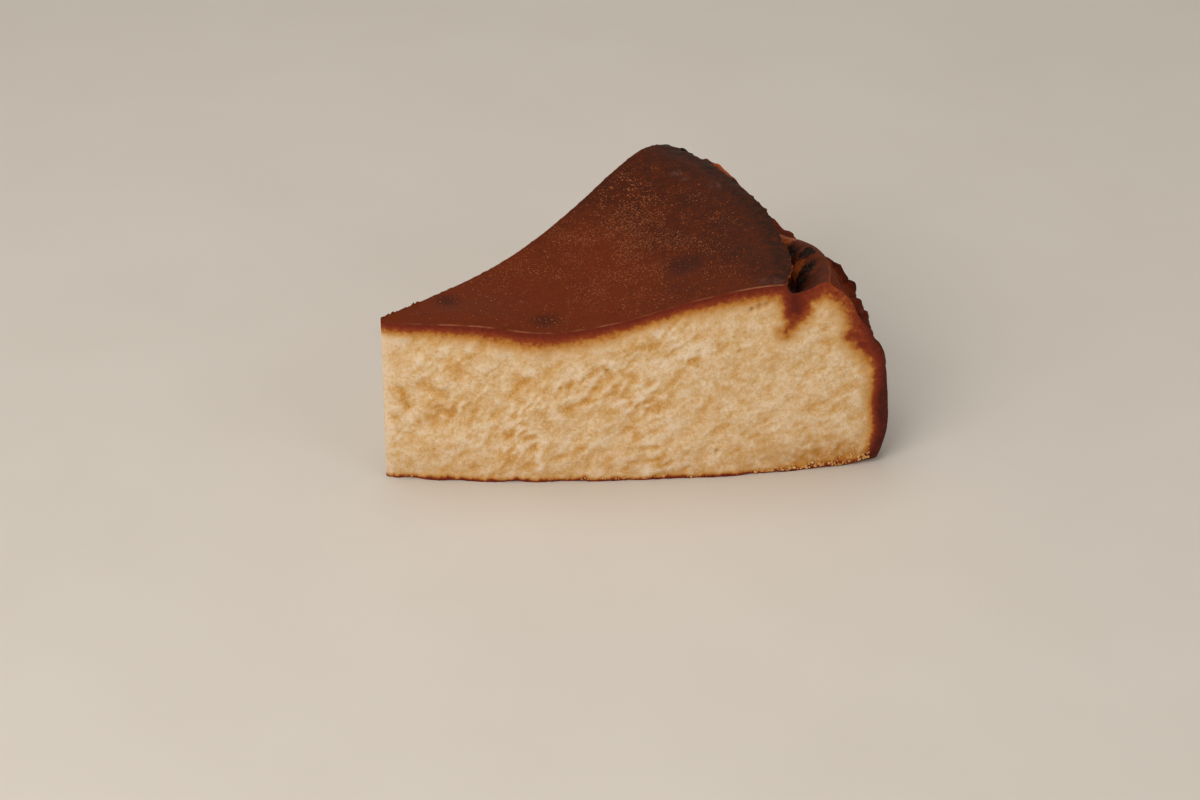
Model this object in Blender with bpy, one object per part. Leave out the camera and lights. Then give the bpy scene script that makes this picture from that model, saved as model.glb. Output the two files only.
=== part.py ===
"""A wedge of burnt-top baked cheesecake, cut from a round cake about 19 cm across.

The slice is one solid. Its tip points to -X, the cut that is seen first faces -Y, and it stands on z = 0.
The top skin sags towards the tip and has torn away from the rim, which leaves a crack with a
shoulder behind it. The outer wall carries pleats where folded baking paper pressed into it.
"""

import math

import bmesh
import bpy
from mathutils import Vector, noise

NODE = "cheesecake_slice"

# Driving dimensions, in millimetres and degrees. The mesh is made in metres.
MM = 0.001
WEDGE_ANGLE = 46.5
WALL_RADIUS = 94.9
TIP_RADIUS = 0.9
TIP_CURL = 0.9
TIP_CURL_LENGTH = 3.0
TIP_ROUND = 0.4
NEAR_CUT_BULGE = 4.2
BULGE_FULLNESS = 0.8
CREST_ROUND = 2.5
SHOULDER_FULLNESS = 0.6
BASE_INSET = 1.5
BASE_LIFT = 0.7
LIFT_LENGTH = 5.0
CORNER_LIFT = 0.9
CORNER_LENGTH = 9.0

# Heights of the top skin along the two cuts, as (distance from the tip, height).
NEAR_SKIN = ((0, 33.3), (18, 33.2), (31, 31.9), (44, 33.9), (56, 37.4), (68, 39.8), (76, 40.1), (86, 39.6))
FAR_SKIN = ((0, 34.0), (10, 32.9), (30, 31.6), (43, 32.5), (56, 35.1), (69, 38.6), (77, 39.7), (86, 37.4))

# What runs round the rim, as (angle from the near cut, value): where the skin ends, how deep the crack is,
# how far outside the skin's edge its floor lies, and the crest of the shoulder behind it.
SKIN_EDGE_RADIUS = ((0, 74.8), (6, 77.2), (14, 77.9), (21, 79.4), (27, 79.9), (32, 81.2), (38, 82.8), (46.5, 83.4))
CRACK_DEPTH = ((0, 4.3), (6, 4.6), (14, 4.4), (21, 4.8), (26, 3.2), (31, 1.0), (46.5, 0.8))
CRACK_FLOOR_OUT = ((0, 1.4), (14, 1.0), (21, 0.8), (28, 0.5), (46.5, 0.4))
CREST_RADIUS = ((0, 83.0), (7, 84.6), (16, 83.4), (23, 83.8), (30, 84.6), (46.5, 85.6))
CREST_HEIGHT = (
    (0, 40.0),
    (6, 38.6),
    (11, 38.2),
    (16, 36.2),
    (20, 33.8),
    (24.5, 31.9),
    (29, 33.4),
    (34, 36.2),
    (46.5, 36.8),
)

# The outer wall's radius at each height.
WALL_OUTLINE = (
    (0, 92.2),
    (1.2, 93.4),
    (4.5, 94.5),
    (10, WALL_RADIUS),
    (18, 94.4),
    (23.6, 93.4),
    (26.8, 91.2),
    (30.5, 88.7),
    (35, 86.4),
    (39.3, 84.2),
)
# How much further out the wall stands at the near cut, at each height, and the angle over which that fades.
NEAR_EDGE_OUT = ((3.7, 0.0), (7, 0.3), (14, 0.3), (24.5, 0.35), (29, 1.1), (32.3, 1.0), (36, 1.4), (39, 0.7))
NEAR_EDGE_FADE = 4.0

# Pleats pressed into the wall, as (angle, top height, foot height, how far it stands proud,
# half width, lean in degrees).
PLEATS = (
    (8.5, 33.0, 26.0, 1.3, 1.7, -1.0),
    (13.5, 34.4, 24.5, 2.2, 1.9, 0.5),
    (20.5, 25.0, 2.0, 1.2, 2.2, -1.5),
    (28.5, 27.0, 4.0, 1.5, 2.0, 1.0),
    (36.0, 30.0, 8.0, 1.4, 2.4, 2.0),
    (41.5, 35.0, 3.0, 1.8, 1.8, -1.0),
)
PLEAT_TOP_FADE = 2.5
PLEAT_FOOT_FADE = 3.0
PLEAT_SHARPNESS = 0.8
WALL_WAVE = 0.45
WALL_WAVE_LENGTH = 11.0

# Relief of the two cuts, where the knife dragged the crumb.
TEAR_RELIEF = 0.55
TEAR_LENGTH = 9.0
TEAR_WIDTH = 4.0
TEAR_ANGLE = 50.0
FINE_TEAR_SHARE = 0.5
SKIN_WAVE = 0.25
SKIN_WAVE_LENGTH = 24.0

# Mesh spacing, in millimetres, and the number of rows in each stretch.
CELL = 2.1
SKIN_COLUMNS = 38
CRACK_COLUMNS = 4
CREST_COLUMNS = 4
WALL_ROWS = 19
WALL_EXTRA_SPANS = 6
TIP_SEGMENTS = 2
NEAR_SEED = 7.3
FAR_SEED = 21.9

# Material slots of the mesh.
CREAM = 0
BROWNED = 1


def through(stations, x):
    """The value at x of a smooth curve through (x, value) stations, flat past both ends."""
    if x <= stations[0][0]:
        return stations[0][1]
    for index in range(len(stations) - 1):
        x0, y0 = stations[index]
        x1, y1 = stations[index + 1]
        if x <= x1:
            break
    else:
        return stations[-1][1]
    before = stations[max(index - 1, 0)]
    after = stations[min(index + 2, len(stations) - 1)]
    slope0 = (y1 - before[1]) / (x1 - before[0])
    slope1 = (after[1] - y0) / (after[0] - x0)
    width = x1 - x0
    u = (x - x0) / width
    return (
        y0 * (1 + 2 * u) * (1 - u) ** 2
        + slope0 * width * u * (1 - u) ** 2
        + y1 * u * u * (3 - 2 * u)
        + slope1 * width * u * u * (u - 1)
    )


def smooth(low, high, x):
    """Rises smoothly from 0 at low to 1 at high."""
    u = min(max((x - low) / (high - low), 0.0), 1.0)
    return u * u * (3 - 2 * u)


def near_bulge(radius):
    """How far the near cut bows out from its chord."""
    along = min(max(radius / WALL_RADIUS, 0.0), 1.0)
    return NEAR_CUT_BULGE * math.sin(math.pi * along) ** BULGE_FULLNESS


def place(radius, share, height):
    """The point at a radius and a height, with share 0 on the near cut and 1 on the far cut."""
    angle = math.radians(WEDGE_ANGLE * share)
    curl = TIP_CURL * max(0.0, 1 - radius / TIP_CURL_LENGTH) ** 2 * (1 - share)
    shift = curl - near_bulge(radius) * (1 - share) ** 2
    return Vector((radius * math.cos(angle), radius * math.sin(angle) + shift, height))


def skin_height(radius, share):
    """Height of the sagging top skin."""
    across = smooth(0, 1, share)
    level = through(NEAR_SKIN, radius) * (1 - across) + through(FAR_SKIN, radius) * across
    point = place(radius, share, 0) / SKIN_WAVE_LENGTH
    inside = math.sin(math.pi * share)
    return level + SKIN_WAVE * inside * noise.noise(Vector((point.x, point.y, NEAR_SEED)))


def top_profile(share):
    """(radius, height) of every top row, from the tip over the skin, the crack and the shoulder's crest."""
    angle = WEDGE_ANGLE * share
    edge = through(SKIN_EDGE_RADIUS, angle)
    crest = through(CREST_RADIUS, angle)
    crest_height = through(CREST_HEIGHT, angle)
    profile = []
    for column in range(SKIN_COLUMNS + 1):
        radius = TIP_RADIUS + (edge - TIP_RADIUS) * column / SKIN_COLUMNS
        profile.append((radius, skin_height(radius, share)))
    edge_height = profile[-1][1]
    floor = edge + through(CRACK_FLOOR_OUT, angle)
    floor_height = min(edge_height, crest_height) - through(CRACK_DEPTH, angle)
    profile += rounded_run(edge, edge_height, floor, floor_height, CRACK_COLUMNS, 1.0)
    profile += rounded_run(floor, floor_height, crest, crest_height, CREST_COLUMNS, SHOULDER_FULLNESS)
    return profile


def rounded_run(start, start_height, end, end_height, columns, fullness):
    """(radius, height) pairs that leave the start steeply, the more so at a low fullness, and level off."""
    run = []
    for column in range(1, columns + 1):
        u = column / columns
        rise = math.sin(u * math.pi / 2) ** fullness
        run.append((start + (end - start) * u, start_height + (end_height - start_height) * rise))
    return run


def pleat_offset(angle, height):
    """How far the folds of the paper push the wall out at an angle and a height."""
    offset = 0.0
    for centre, top, foot, proud, half_width, lean in PLEATS:
        middle = centre + lean * (height - foot) / (top - foot)
        across = math.radians(angle - middle) * WALL_RADIUS / half_width
        if abs(across) < 1:
            tall = smooth(top, top - PLEAT_TOP_FADE, height)
            tall *= smooth(foot - PLEAT_FOOT_FADE, foot + PLEAT_FOOT_FADE, height)
            offset += proud * tall * (1 - abs(across)) ** PLEAT_SHARPNESS
    return offset


def wall_point(share, level):
    """(radius, height) on the outer wall, with level 0 at the foot and 1 at the crest."""
    angle = WEDGE_ANGLE * share
    crest = through(CREST_RADIUS, angle)
    crest_height = through(CREST_HEIGHT, angle)
    height = crest_height * level
    near = smooth(NEAR_EDGE_FADE, 0, angle)
    overhang = through(WALL_OUTLINE, crest_height) + near * through(NEAR_EDGE_OUT, crest_height) - crest
    outline = through(WALL_OUTLINE, height) + near * through(NEAR_EDGE_OUT, height)
    outline -= overhang * math.exp((height - crest_height) / CREST_ROUND)
    inside = smooth(0, 0.06, share) * smooth(1, 0.94, share) * smooth(1, 0.93, level) * smooth(0, 0.1, level)
    arc = math.radians(angle) * WALL_RADIUS
    spot = Vector((arc / WALL_WAVE_LENGTH, height / (2 * WALL_WAVE_LENGTH), NEAR_SEED))
    relief = pleat_offset(angle, height) + WALL_WAVE * noise.noise(spot)
    return outline + inside * relief, height


def tear(along, height, seed):
    """Relief of a cut face: slanting tears near the tip, finer and shallower towards the wall."""
    turn = math.radians(TEAR_ANGLE)
    lengthways = (along * math.cos(turn) + height * math.sin(turn)) / TEAR_LENGTH
    crossways = (height * math.cos(turn) - along * math.sin(turn)) / TEAR_WIDTH
    strength = TEAR_RELIEF * (1 - FINE_TEAR_SHARE * smooth(WALL_RADIUS / 3, WALL_RADIUS * 3 / 4, along))
    return strength * noise.noise(Vector((lengthways, crossways, seed)))


def foot_lift(radius, share):
    """How far the ragged lower edge stands off the plate, most at the near cut's outer corner."""
    point = place(radius, share, 0) / LIFT_LENGTH
    ragged = BASE_LIFT * max(0.0, noise.noise(Vector((point.x, point.y, NEAR_SEED))))
    outer = smooth(WALL_RADIUS - CORNER_LENGTH, WALL_RADIUS - CORNER_LENGTH / 3, radius)
    return ragged + CORNER_LIFT * outer * smooth(0.08, 0, share)


def cut_grid(bm, share, normal, seed):
    """Vertices of one cut face, as columns from the tip to the wall and rows from the base up.
    The rows run evenly near the base and follow the crack only close under it."""
    profile = top_profile(share)
    last = len(profile) - 1
    edge_height = profile[SKIN_COLUMNS][1]
    crest, crest_height = profile[-1]
    foot = wall_point(share, 0.0)[0]
    grid = []
    for column, (radius, height) in enumerate(profile):
        u = column / last
        base = TIP_RADIUS + (foot - TIP_RADIUS) * u
        past_edge = max(0, column - SKIN_COLUMNS) / (last - SKIN_COLUMNS)
        even = height if past_edge == 0 else edge_height + (crest_height - edge_height) * past_edge
        line = []
        for row in range(WALL_ROWS + 1):
            v = row / WALL_ROWS
            side = wall_point(share, v)[0] - foot - (crest - foot) * v * v
            r = base + (radius - base) * v * v + side * u * u
            z = even * v + (height - even) * v**3 if row else foot_lift(r, share)
            fade = smooth(0, 0.04, u) * smooth(1, 0.96, u) * smooth(1.0, 0.85, v)
            line.append(bm.verts.new((place(r, share, z) + normal * tear(r, z, seed) * fade) * MM))
        grid.append(line)
    return grid


def rows_between(bm, start, end, count, point_at):
    """A row of vertices from start to end, with count spans and its inner points from point_at(share)."""
    inner = [bm.verts.new(point_at(index / count) * MM) for index in range(1, count)]
    return [start, *inner, end]


def stitch(bm, first, second, slot):
    """Fills the strip between two rows of vertices that may differ in number."""
    a = b = 0
    while a < len(first) - 1 or b < len(second) - 1:
        ahead_a = (a + 1) / (len(first) - 1)
        ahead_b = (b + 1) / (len(second) - 1)
        if b == len(second) - 1 or (a < len(first) - 1 and ahead_a <= ahead_b):
            corners = (first[a], first[a + 1], second[b])
            a += 1
        else:
            corners = (first[a], second[b + 1], second[b])
            b += 1
        if len(set(corners)) == 3:
            bm.faces.new(corners).material_index = slot


def skin_rows(bm, near, far, crest_row):
    """The rows of the top, from the tip to the crest, each with its vertices from cut to cut."""
    columns = len(near) - 1
    rows = []
    for column in range(columns):
        radius = near[column][-1].co.length / MM
        spans = max(TIP_SEGMENTS, round(math.radians(WEDGE_ANGLE) * radius / CELL))
        if column == 0:
            spans = TIP_SEGMENTS

        def point_at(share, column=column):
            r, z = top_profile(share)[column]
            return place(r, share, z)

        rows.append(rows_between(bm, near[column][-1], far[column][-1], spans, point_at))
    return [*rows, crest_row]


def wall_rows(bm, near, far):
    """The rows of the outer wall, from the foot up to the crest."""
    spans = round(math.radians(WEDGE_ANGLE) * WALL_RADIUS / CELL) + WALL_EXTRA_SPANS
    rows = []
    for row in range(WALL_ROWS + 1):

        def point_at(share, row=row):
            radius, height = wall_point(share, row / WALL_ROWS)
            return place(radius, share, height if row else foot_lift(radius, share))

        rows.append(rows_between(bm, near[-1][row], far[-1][row], spans, point_at))
    return rows


def tip_rows(bm, near, far, top_row):
    """The narrow rounded face at the tip, from the base up to the first row of the top."""
    rows = []
    for row in range(WALL_ROWS):

        def point_at(share, height=near[0][row].co.z / MM):
            return place(TIP_RADIUS - TIP_ROUND * math.sin(math.pi * share), share, height)

        rows.append(rows_between(bm, near[0][row], far[0][row], TIP_SEGMENTS, point_at))
    return [*rows, top_row]


def inner_point(column_share, row_share):
    """A point of the flat resting face, inside the ragged border."""
    foot = WALL_OUTLINE[0][1]
    radius = TIP_RADIUS + BASE_INSET + (foot - 2 * BASE_INSET - TIP_RADIUS) * column_share
    inset = min(0.3, BASE_INSET / (math.radians(WEDGE_ANGLE) * radius))
    return place(radius, inset + (1 - 2 * inset) * row_share, 0)


def fill_base(bm, near, far, wall_row, tip_row):
    """A flat resting face on z = 0, with a narrow border that rises to the ragged edge of the crumb."""
    columns = len(near) - 1
    spans = len(wall_row) - 1
    near_foot = [line[0] for line in near]
    far_foot = [line[0] for line in far]
    border = near_foot + wall_row[1:-1] + far_foot[::-1] + tip_row[-2:0:-1]
    shares = [(column / columns, 0) for column in range(columns + 1)]
    shares += [(1, span / spans) for span in range(1, spans)]
    shares += [(column / columns, 1) for column in range(columns, -1, -1)]
    shares += [(0, span / TIP_SEGMENTS) for span in range(TIP_SEGMENTS - 1, 0, -1)]
    inner = [bm.verts.new(inner_point(*pair) * MM) for pair in shares]
    for index in range(len(border)):
        following = (index + 1) % len(border)
        bm.faces.new((border[index], border[following], inner[following], inner[index]))
    bm.faces.new(inner)


def slice_mesh():
    """The whole closed surface of the slice, standing on z = 0 with its box centred on the origin."""
    bm = bmesh.new()
    turn = math.radians(WEDGE_ANGLE)
    near = cut_grid(bm, 0.0, Vector((0, -1, 0)), NEAR_SEED)
    far = cut_grid(bm, 1.0, Vector((-math.sin(turn), math.cos(turn), 0)), FAR_SEED)
    wall = wall_rows(bm, near, far)
    top = skin_rows(bm, near, far, wall[-1])
    tip = tip_rows(bm, near, far, top[0])
    for rows, slot in ((wall, BROWNED), (top, BROWNED), (tip, CREAM), (near, CREAM), (far, CREAM)):
        for first, second in zip(rows, rows[1:]):
            stitch(bm, first, second, slot)
    fill_base(bm, near, far, wall[0], tip[0])
    bmesh.ops.triangulate(bm, faces=bm.faces[:], quad_method="BEAUTY", ngon_method="BEAUTY")
    bmesh.ops.recalc_face_normals(bm, faces=bm.faces[:])
    corners = [vertex.co for vertex in bm.verts]
    centre_x = (min(c.x for c in corners) + max(c.x for c in corners)) / 2
    centre_y = (min(c.y for c in corners) + max(c.y for c in corners)) / 2
    bmesh.ops.translate(bm, verts=bm.verts[:], vec=(-centre_x, -centre_y, 0))
    mesh = bpy.data.meshes.new(NODE)
    bm.to_mesh(mesh)
    bm.free()
    return mesh


def baked_material(name, colour, roughness):
    """A plain baked surface."""
    material = bpy.data.materials.new(name)
    material.use_nodes = True
    shader = material.node_tree.nodes["Principled BSDF"]
    shader.inputs["Base Color"].default_value = (*colour, 1)
    shader.inputs["Roughness"].default_value = roughness
    shader.inputs["Metallic"].default_value = 0.0
    return material


def clear_scene():
    """Starts from an empty scene."""
    for leftover in list(bpy.data.objects):
        bpy.data.objects.remove(leftover, do_unlink=True)


def build():
    """Makes the one object."""
    clear_scene()
    mesh = slice_mesh()
    mesh.materials.append(baked_material("baked_cream", (0.78, 0.60, 0.36), 0.6))
    mesh.materials.append(baked_material("browned_skin", (0.10, 0.035, 0.015), 0.4))
    mesh.shade_smooth()
    mesh.set_sharp_from_angle(angle=math.radians(40))
    piece = bpy.data.objects.new(NODE, mesh)
    bpy.context.scene.collection.objects.link(piece)


build()
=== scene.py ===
import math

import bmesh
import bpy
import numpy as np
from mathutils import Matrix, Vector, noise


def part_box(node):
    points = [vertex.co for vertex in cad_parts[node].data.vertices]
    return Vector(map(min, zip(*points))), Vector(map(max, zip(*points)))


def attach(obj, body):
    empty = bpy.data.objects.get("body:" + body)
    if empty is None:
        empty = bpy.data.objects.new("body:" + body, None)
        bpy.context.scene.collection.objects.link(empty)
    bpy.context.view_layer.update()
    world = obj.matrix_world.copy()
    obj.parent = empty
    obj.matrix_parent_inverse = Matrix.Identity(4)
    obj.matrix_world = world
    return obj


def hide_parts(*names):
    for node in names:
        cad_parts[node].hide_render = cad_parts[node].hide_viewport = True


# The looks of a wedge of burnt-top baked cheesecake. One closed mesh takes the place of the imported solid:
# it has the same outline, with the torn crumb, the blistered shoulder and the creased wall as real relief.
# Lengths are in millimetres and angles in degrees, in the slice's own frame with the tip at the origin,
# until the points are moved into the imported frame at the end.

NODE = "cheesecake_slice"
MM = 0.001
TIP_AT = (-47.99, -32.24)

# The shape, as the part's source has it, but for the crack: towards the near cut it closes up here.
WEDGE_ANGLE = 46.5
WALL_RADIUS = 94.9
TIP_RADIUS = 0.9
TIP_CURL = 0.9
TIP_CURL_LENGTH = 3.0
TIP_ROUND = 0.4
NEAR_CUT_BULGE = 4.2
BULGE_FULLNESS = 0.8
CREST_ROUND = 2.5
SHOULDER_FULLNESS = ((0, 3.2), (2, 1.7), (4.5, 0.75), (7, 0.6), (46.5, 0.6))
CREST_SWELL = 0.25
BASE_LIFT = 0.7
LIFT_LENGTH = 5.0
CORNER_LIFT = 0.9
CORNER_LENGTH = 9.0
NEAR_SKIN = ((0, 33.3), (18, 33.2), (31, 31.9), (44, 33.9), (56, 37.4), (68, 39.8), (76, 40.1), (86, 39.6))
FAR_SKIN = ((0, 34.0), (10, 32.9), (30, 31.6), (43, 32.5), (56, 35.1), (69, 38.6), (77, 39.7), (86, 37.4))
SKIN_EDGE_RADIUS = (
    (0, 74.8),
    (6, 77.2),
    (14, 77.9),
    (21, 79.4),
    (27, 79.9),
    (32, 81.2),
    (38, 82.8),
    (46.5, 83.4),
)
CRACK_DEPTH = ((0, 1.7), (4, 4.2), (7, 4.6), (14, 4.4), (21, 4.8), (26, 3.2), (31, 1.0), (46.5, 0.8))
CRACK_FLOOR_OUT = ((0, 1.4), (14, 1.0), (21, 0.8), (28, 0.5), (46.5, 0.4))
CREST_RADIUS = ((0, 83.0), (7, 84.6), (16, 83.4), (23, 83.8), (30, 84.6), (46.5, 85.6))
CREST_HEIGHT = (
    (0, 40.0),
    (6, 38.6),
    (11, 38.2),
    (16, 36.2),
    (20, 33.8),
    (24.5, 31.9),
    (29, 33.4),
    (34, 36.2),
    (46.5, 36.8),
)
WALL_OUTLINE = (
    (0, 92.2),
    (1.2, 93.4),
    (4.5, 94.5),
    (10, WALL_RADIUS),
    (18, 94.4),
    (23.6, 93.4),
    (26.8, 91.2),
    (30.5, 88.7),
    (35, 86.4),
    (39.3, 84.2),
)
# How much further out the wall stands at the near cut, at each height, and the angle over which that fades.
NEAR_EDGE_OUT = ((3.7, 0.0), (7, 0.3), (14, 0.3), (24.5, 0.35), (29, 1.1), (32.3, 1.0), (36, 1.4), (39, 0.7))
NEAR_EDGE_FADE = 4.0
# Pleats, as (angle, top height, foot height, how far it stands proud, half width, lean in degrees).
PLEATS = (
    (8.5, 33.0, 26.0, 1.3, 1.7, -1.0),
    (13.5, 34.4, 24.5, 2.2, 1.9, 0.5),
    (20.5, 25.0, 2.0, 1.2, 2.2, -1.5),
    (28.5, 27.0, 4.0, 1.5, 2.0, 1.0),
    (36.0, 30.0, 8.0, 1.4, 2.4, 2.0),
    (41.5, 35.0, 3.0, 1.8, 1.8, -1.0),
)
PLEAT_TOP_FADE = 2.5
PLEAT_FOOT_FADE = 3.0
PLEAT_SHARPNESS = 0.8
WALL_WAVE = 0.45
WALL_WAVE_LENGTH = 11.0
TEAR_RELIEF = 0.55
TEAR_LENGTH = 9.0
TEAR_WIDTH = 4.0
TEAR_ANGLE = 50.0
FINE_TEAR_SHARE = 0.5
SKIN_WAVE = 0.25
SKIN_WAVE_LENGTH = 24.0
NEAR_SEED = 7.3
FAR_SEED = 21.9

# Mesh spacing. The top's columns run in three stretches: skin, inner wall of the crack, shoulder.
# EDGE_MARGIN is the share of a row over which its relief fades in from a cut.
SKIN_SPANS = 196
CRACK_SPANS = 14
SHOULDER_SPANS = 26
CUT_ROWS = 98
EDGE_STEPS = (0.2, 0.5)
SKIN_CELL = 0.62
SHOULDER_CELL = 0.38
WALL_CELL = 0.4
BASE_CELL = 1.6
TIP_SPANS = 4
EDGE_ROUND = 0.3
EDGE_MARGIN = 0.012
BASE_STEP = 3
BASE_MARGIN = 1.3

# Finer relief of the cut faces. Each band of streaks has its own slant and its place along the cut.
STREAK_BANDS = ((-5, 26), (24, 52), (50, 34), (78, 20))
STREAK_BAND_WIDTH = 28.0
STREAK_LENGTH = 2.9
STREAK_WIDTH = 1.25
STREAK_DEPTH = 0.12
LUMP_SIZE = 2.6
LUMP_HEIGHT = 0.12
CURD_SIZE = 1.3
CURD_HEIGHT = 0.13
GRAIN_SIZE = 0.85
GRAIN_HEIGHT = 0.12
CRUMBLE_SIZE = 1.3
CRUMBLE_TALL = 1.15
CRUMBLE_HEIGHT = 0.5

# Noise in layers, each as (height, size, seed).
CREVICE_EDGE = ((0.35, 1.3, 4), (0.5, 3.0, 5))
SKIN_SWELLS = ((0.10, 7, 2.2), (0.035, 2.2, 4.4))
LIP_CURL = ((0.2, 2.4, 6.6), (0.1, 0.9, 1.6))
ROAST_CLOUDS = ((9.0, 12, 5.2), (3.0, 4, 7.7))
BEAD_PATCHES = ((1.2, 9, 3.0), (0.9, 3, 6.0))

# Crevices where the crumb tore deeper, as (along, height) at both ends, half width and depth.
NEAR_CREVICES = (
    (9.6, 19.4, 12.2, 18.2, 0.9, 0.75),
    (10.9, 15.6, 12.8, 14.6, 0.8, 0.55),
    (4.0, 19.6, 4.6, 15.8, 0.7, 0.4),
    (7.4, 20.4, 9.0, 21.6, 0.7, 0.4),
    (12.6, 22.4, 14.4, 23.8, 0.6, 0.35),
    (20.8, 14.4, 27.0, 22.0, 0.8, 0.55),
    (17.4, 15.6, 19.4, 18.8, 0.6, 0.35),
    (30.6, 22.6, 33.0, 25.0, 0.8, 0.3),
    (33.8, 15.6, 38.2, 17.4, 0.7, 0.45),
    (38.2, 17.4, 43.0, 22.4, 0.6, 0.5),
    (43.0, 22.4, 41.6, 24.4, 0.5, 0.5),
    (44.8, 18.2, 47.2, 22.0, 0.6, 0.4),
    (53.4, 20.6, 58.2, 26.0, 0.7, 0.32),
    (60.0, 14.8, 61.4, 17.0, 0.6, 0.4),
    (61.8, 9.2, 64.4, 11.2, 0.7, 0.35),
)
# Round pits, as (along, height, radius, depth).
NEAR_PITS = (
    (62.6, 5.4, 0.75, 0.9),
    (58.7, 24.4, 0.5, 0.45),
    (66.4, 27.0, 0.45, 0.4),
    (68.6, 35.4, 0.8, 1.0),
    (70.0, 35.9, 0.9, 0.8),
    (71.2, 36.3, 0.7, 0.6),
    (41.9, 23.8, 0.45, 0.5),
)
FAR_CREVICES = (
    (14.0, 12.0, 19.0, 17.5, 0.8, 0.5),
    (24.0, 21.0, 28.5, 24.0, 0.7, 0.45),
    (33.0, 9.0, 37.5, 14.5, 0.7, 0.45),
    (45.0, 24.0, 51.0, 27.5, 0.7, 0.4),
    (56.0, 11.0, 60.0, 15.0, 0.7, 0.35),
    (70.0, 18.0, 74.0, 20.0, 0.6, 0.35),
)
FAR_PITS = ((28.0, 8.0, 0.7, 0.8), (49.0, 18.0, 0.5, 0.5), (66.0, 30.0, 0.6, 0.6), (77.0, 9.0, 0.5, 0.5))

# How the browned layer lies in the cuts. Its colour is read off CRUST_COLOURS. The reading starts at one
# value, stays there over a flat depth and then climbs by so much for each millimetre. Under the skin this
# is told by the distance from the tip, in the wall by the height, and on the shoulder by the stretch of
# the top.
SKIN_CLIMB = ((0, 1.75), (10, 1.6), (22, 1.2), (33, 1.15), (42, 1.4), (50, 1.55), (62, 1.35), (75, 1.2))
WALL_START = (
    (0, -1.0),
    (18, -0.9),
    (22, -0.6),
    (26, -0.3),
    (29, 0.3),
    (31, 1.1),
    (33, 1.9),
    (35, 2.15),
    (39, 1.9),
)
WALL_FLAT = ((0, 1.2), (6, 1.2), (13, 1.7), (18, 0.7), (22, 0.3), (27, 0.3), (30, 0.5), (35, 1.3), (39, 1.3))
WALL_CLIMB = ((0, 2.5), (13, 2.3), (18, 1.9), (22, 1.6), (26, 1.15), (30, 1.15), (35, 1.1), (39, 1.3))
SHOULDER_START = ((1.0, 0.0), (1.2, 0.3), (2.0, 0.2), (2.3, 1.1), (3.0, 1.9))
SHOULDER_FLAT = ((1.0, 0.0), (2.0, 0.2), (2.4, 0.8), (3.0, 1.5))
BASE_START = 0.2
BASE_CLIMB = 4.6
STAIN_CLIMB = 1.5
# The depth is measured from points along the cut's outline: so many over the top and down the wall.
TOP_STEPS = 181
WALL_STEPS = 60

# Browning that reaches into the cut, as (along, height) at both ends, half width and how deep it reads.
NEAR_STAINS = (
    (76.6, 37.8, 76.9, 35.2, 0.35, -0.6),
    (77.1, 35.2, 77.2, 33.2, 0.3, 1.2),
    (77.0, 33.0, 75.0, 30.4, 0.15, 1.8),
    (78.0, 36.8, 80.6, 37.4, 0.3, 1.5),
    (87.4, 28.4, 89.4, 27.6, 0.2, 1.2),
    (89.6, 26.4, 92.0, 24.6, 0.3, 0.9),
)
FAR_STAINS = ((89.4, 27.2, 91.6, 24.8, 0.7, 0.4), (84.2, 35.6, 87.8, 30.2, 0.6, 0.8))

# A painted highlight: the pale line along the skin's near edge.
RIM_OFFSET = 0.1
RIM_WIDTH = 0.4

# Beads on the skin: how many spots are tried, and the seed of the draw.
BEAD_TRIES = 42000
BEAD_SEED = 17
BEAD_SIZES = (0.06, 0.13)
# Where they stand thickest and where they are coarsest, as (x, y, half length, half width).
BEADS_THICK = (46.0, 25.0, 19.0, 21.0)
BEADS_COARSE = (48.5, 42.0, 7.0, 5.0)
# Crumbs stuck to the foot of the cuts: how many, how far they are sunk in, and how they are shared out.
CRUMB_COUNT = 360
CRUMB_SUNK = 0.12
CRUMB_SEED = 5
CRUMB_SIZES = (0.12, 0.26)
CRUMBS_NEAR = 0.75
CRUMBS_AT_CORNER = 0.65
CORNER_FROM = 91.8
CORNER_SPREAD = 22.0

# The skin's torn edge curls up a little. LIP_WIDTH is how far in that starts.
LIP_WIDTH = 5.0
LIP_HEIGHT = 0.22
# Soft dark dimples of the skin, as (x, y, half length, half width, depth).
SKIN_DIMPLES = ((13.0, 9.0, 3.2, 3.6, 0.2), (31.0, 1.6, 3.6, 3.4, 0.22), (57.2, 10.9, 4.8, 5.0, 0.28))
# Painted sheen: greyish glossy spots of the skin, as (x, y, radius).
SKIN_SHEEN_SPOTS = ((58.6, 44.6, 1.5), (59.9, 42.2, 0.8), (65.7, 38.6, 1.5), (71.0, -0.9, 1.2), (73.0, -1.1, 1.4))

# Overlapping small folds of the wall, and the creases between them.
FOLD_STEP = 4.0
FOLD_HEIGHT = 0.9
CREASE_DEPTH = 0.5

# Black blisters and torn orange patches of the shoulder, as (x, y, radius).
BLISTERS = ((78.6, 5.8, 1.6), (77.2, 18.0, 2.6), (80.6, 13.8, 1.6), (80.4, 8.8, 1.6))
ORANGE_PATCHES = ((78.0, 11.3, 2.2), (76.6, 31.7, 6.5), (79.2, 25.0, 4.0), (67.6, 49.8, 4.4))
# From this y towards the far cut the shoulder is charred and chunky.
CHARRED_FROM = 44.0
# The flake that stands up on the far rim, as (x, y) at both ends and height.
RIM_FLAKE = (65.6, 52.8, 69.2, 46.4, 0.9)
# The inner wall of the crack is hollowed out under the skin by this much.
UNDERCUT = 0.7
# How far from the crest the ridge of the shoulder is eased, and in how many passes.
CREST_REACH = 1.1
CREST_PASSES = 6


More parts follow.
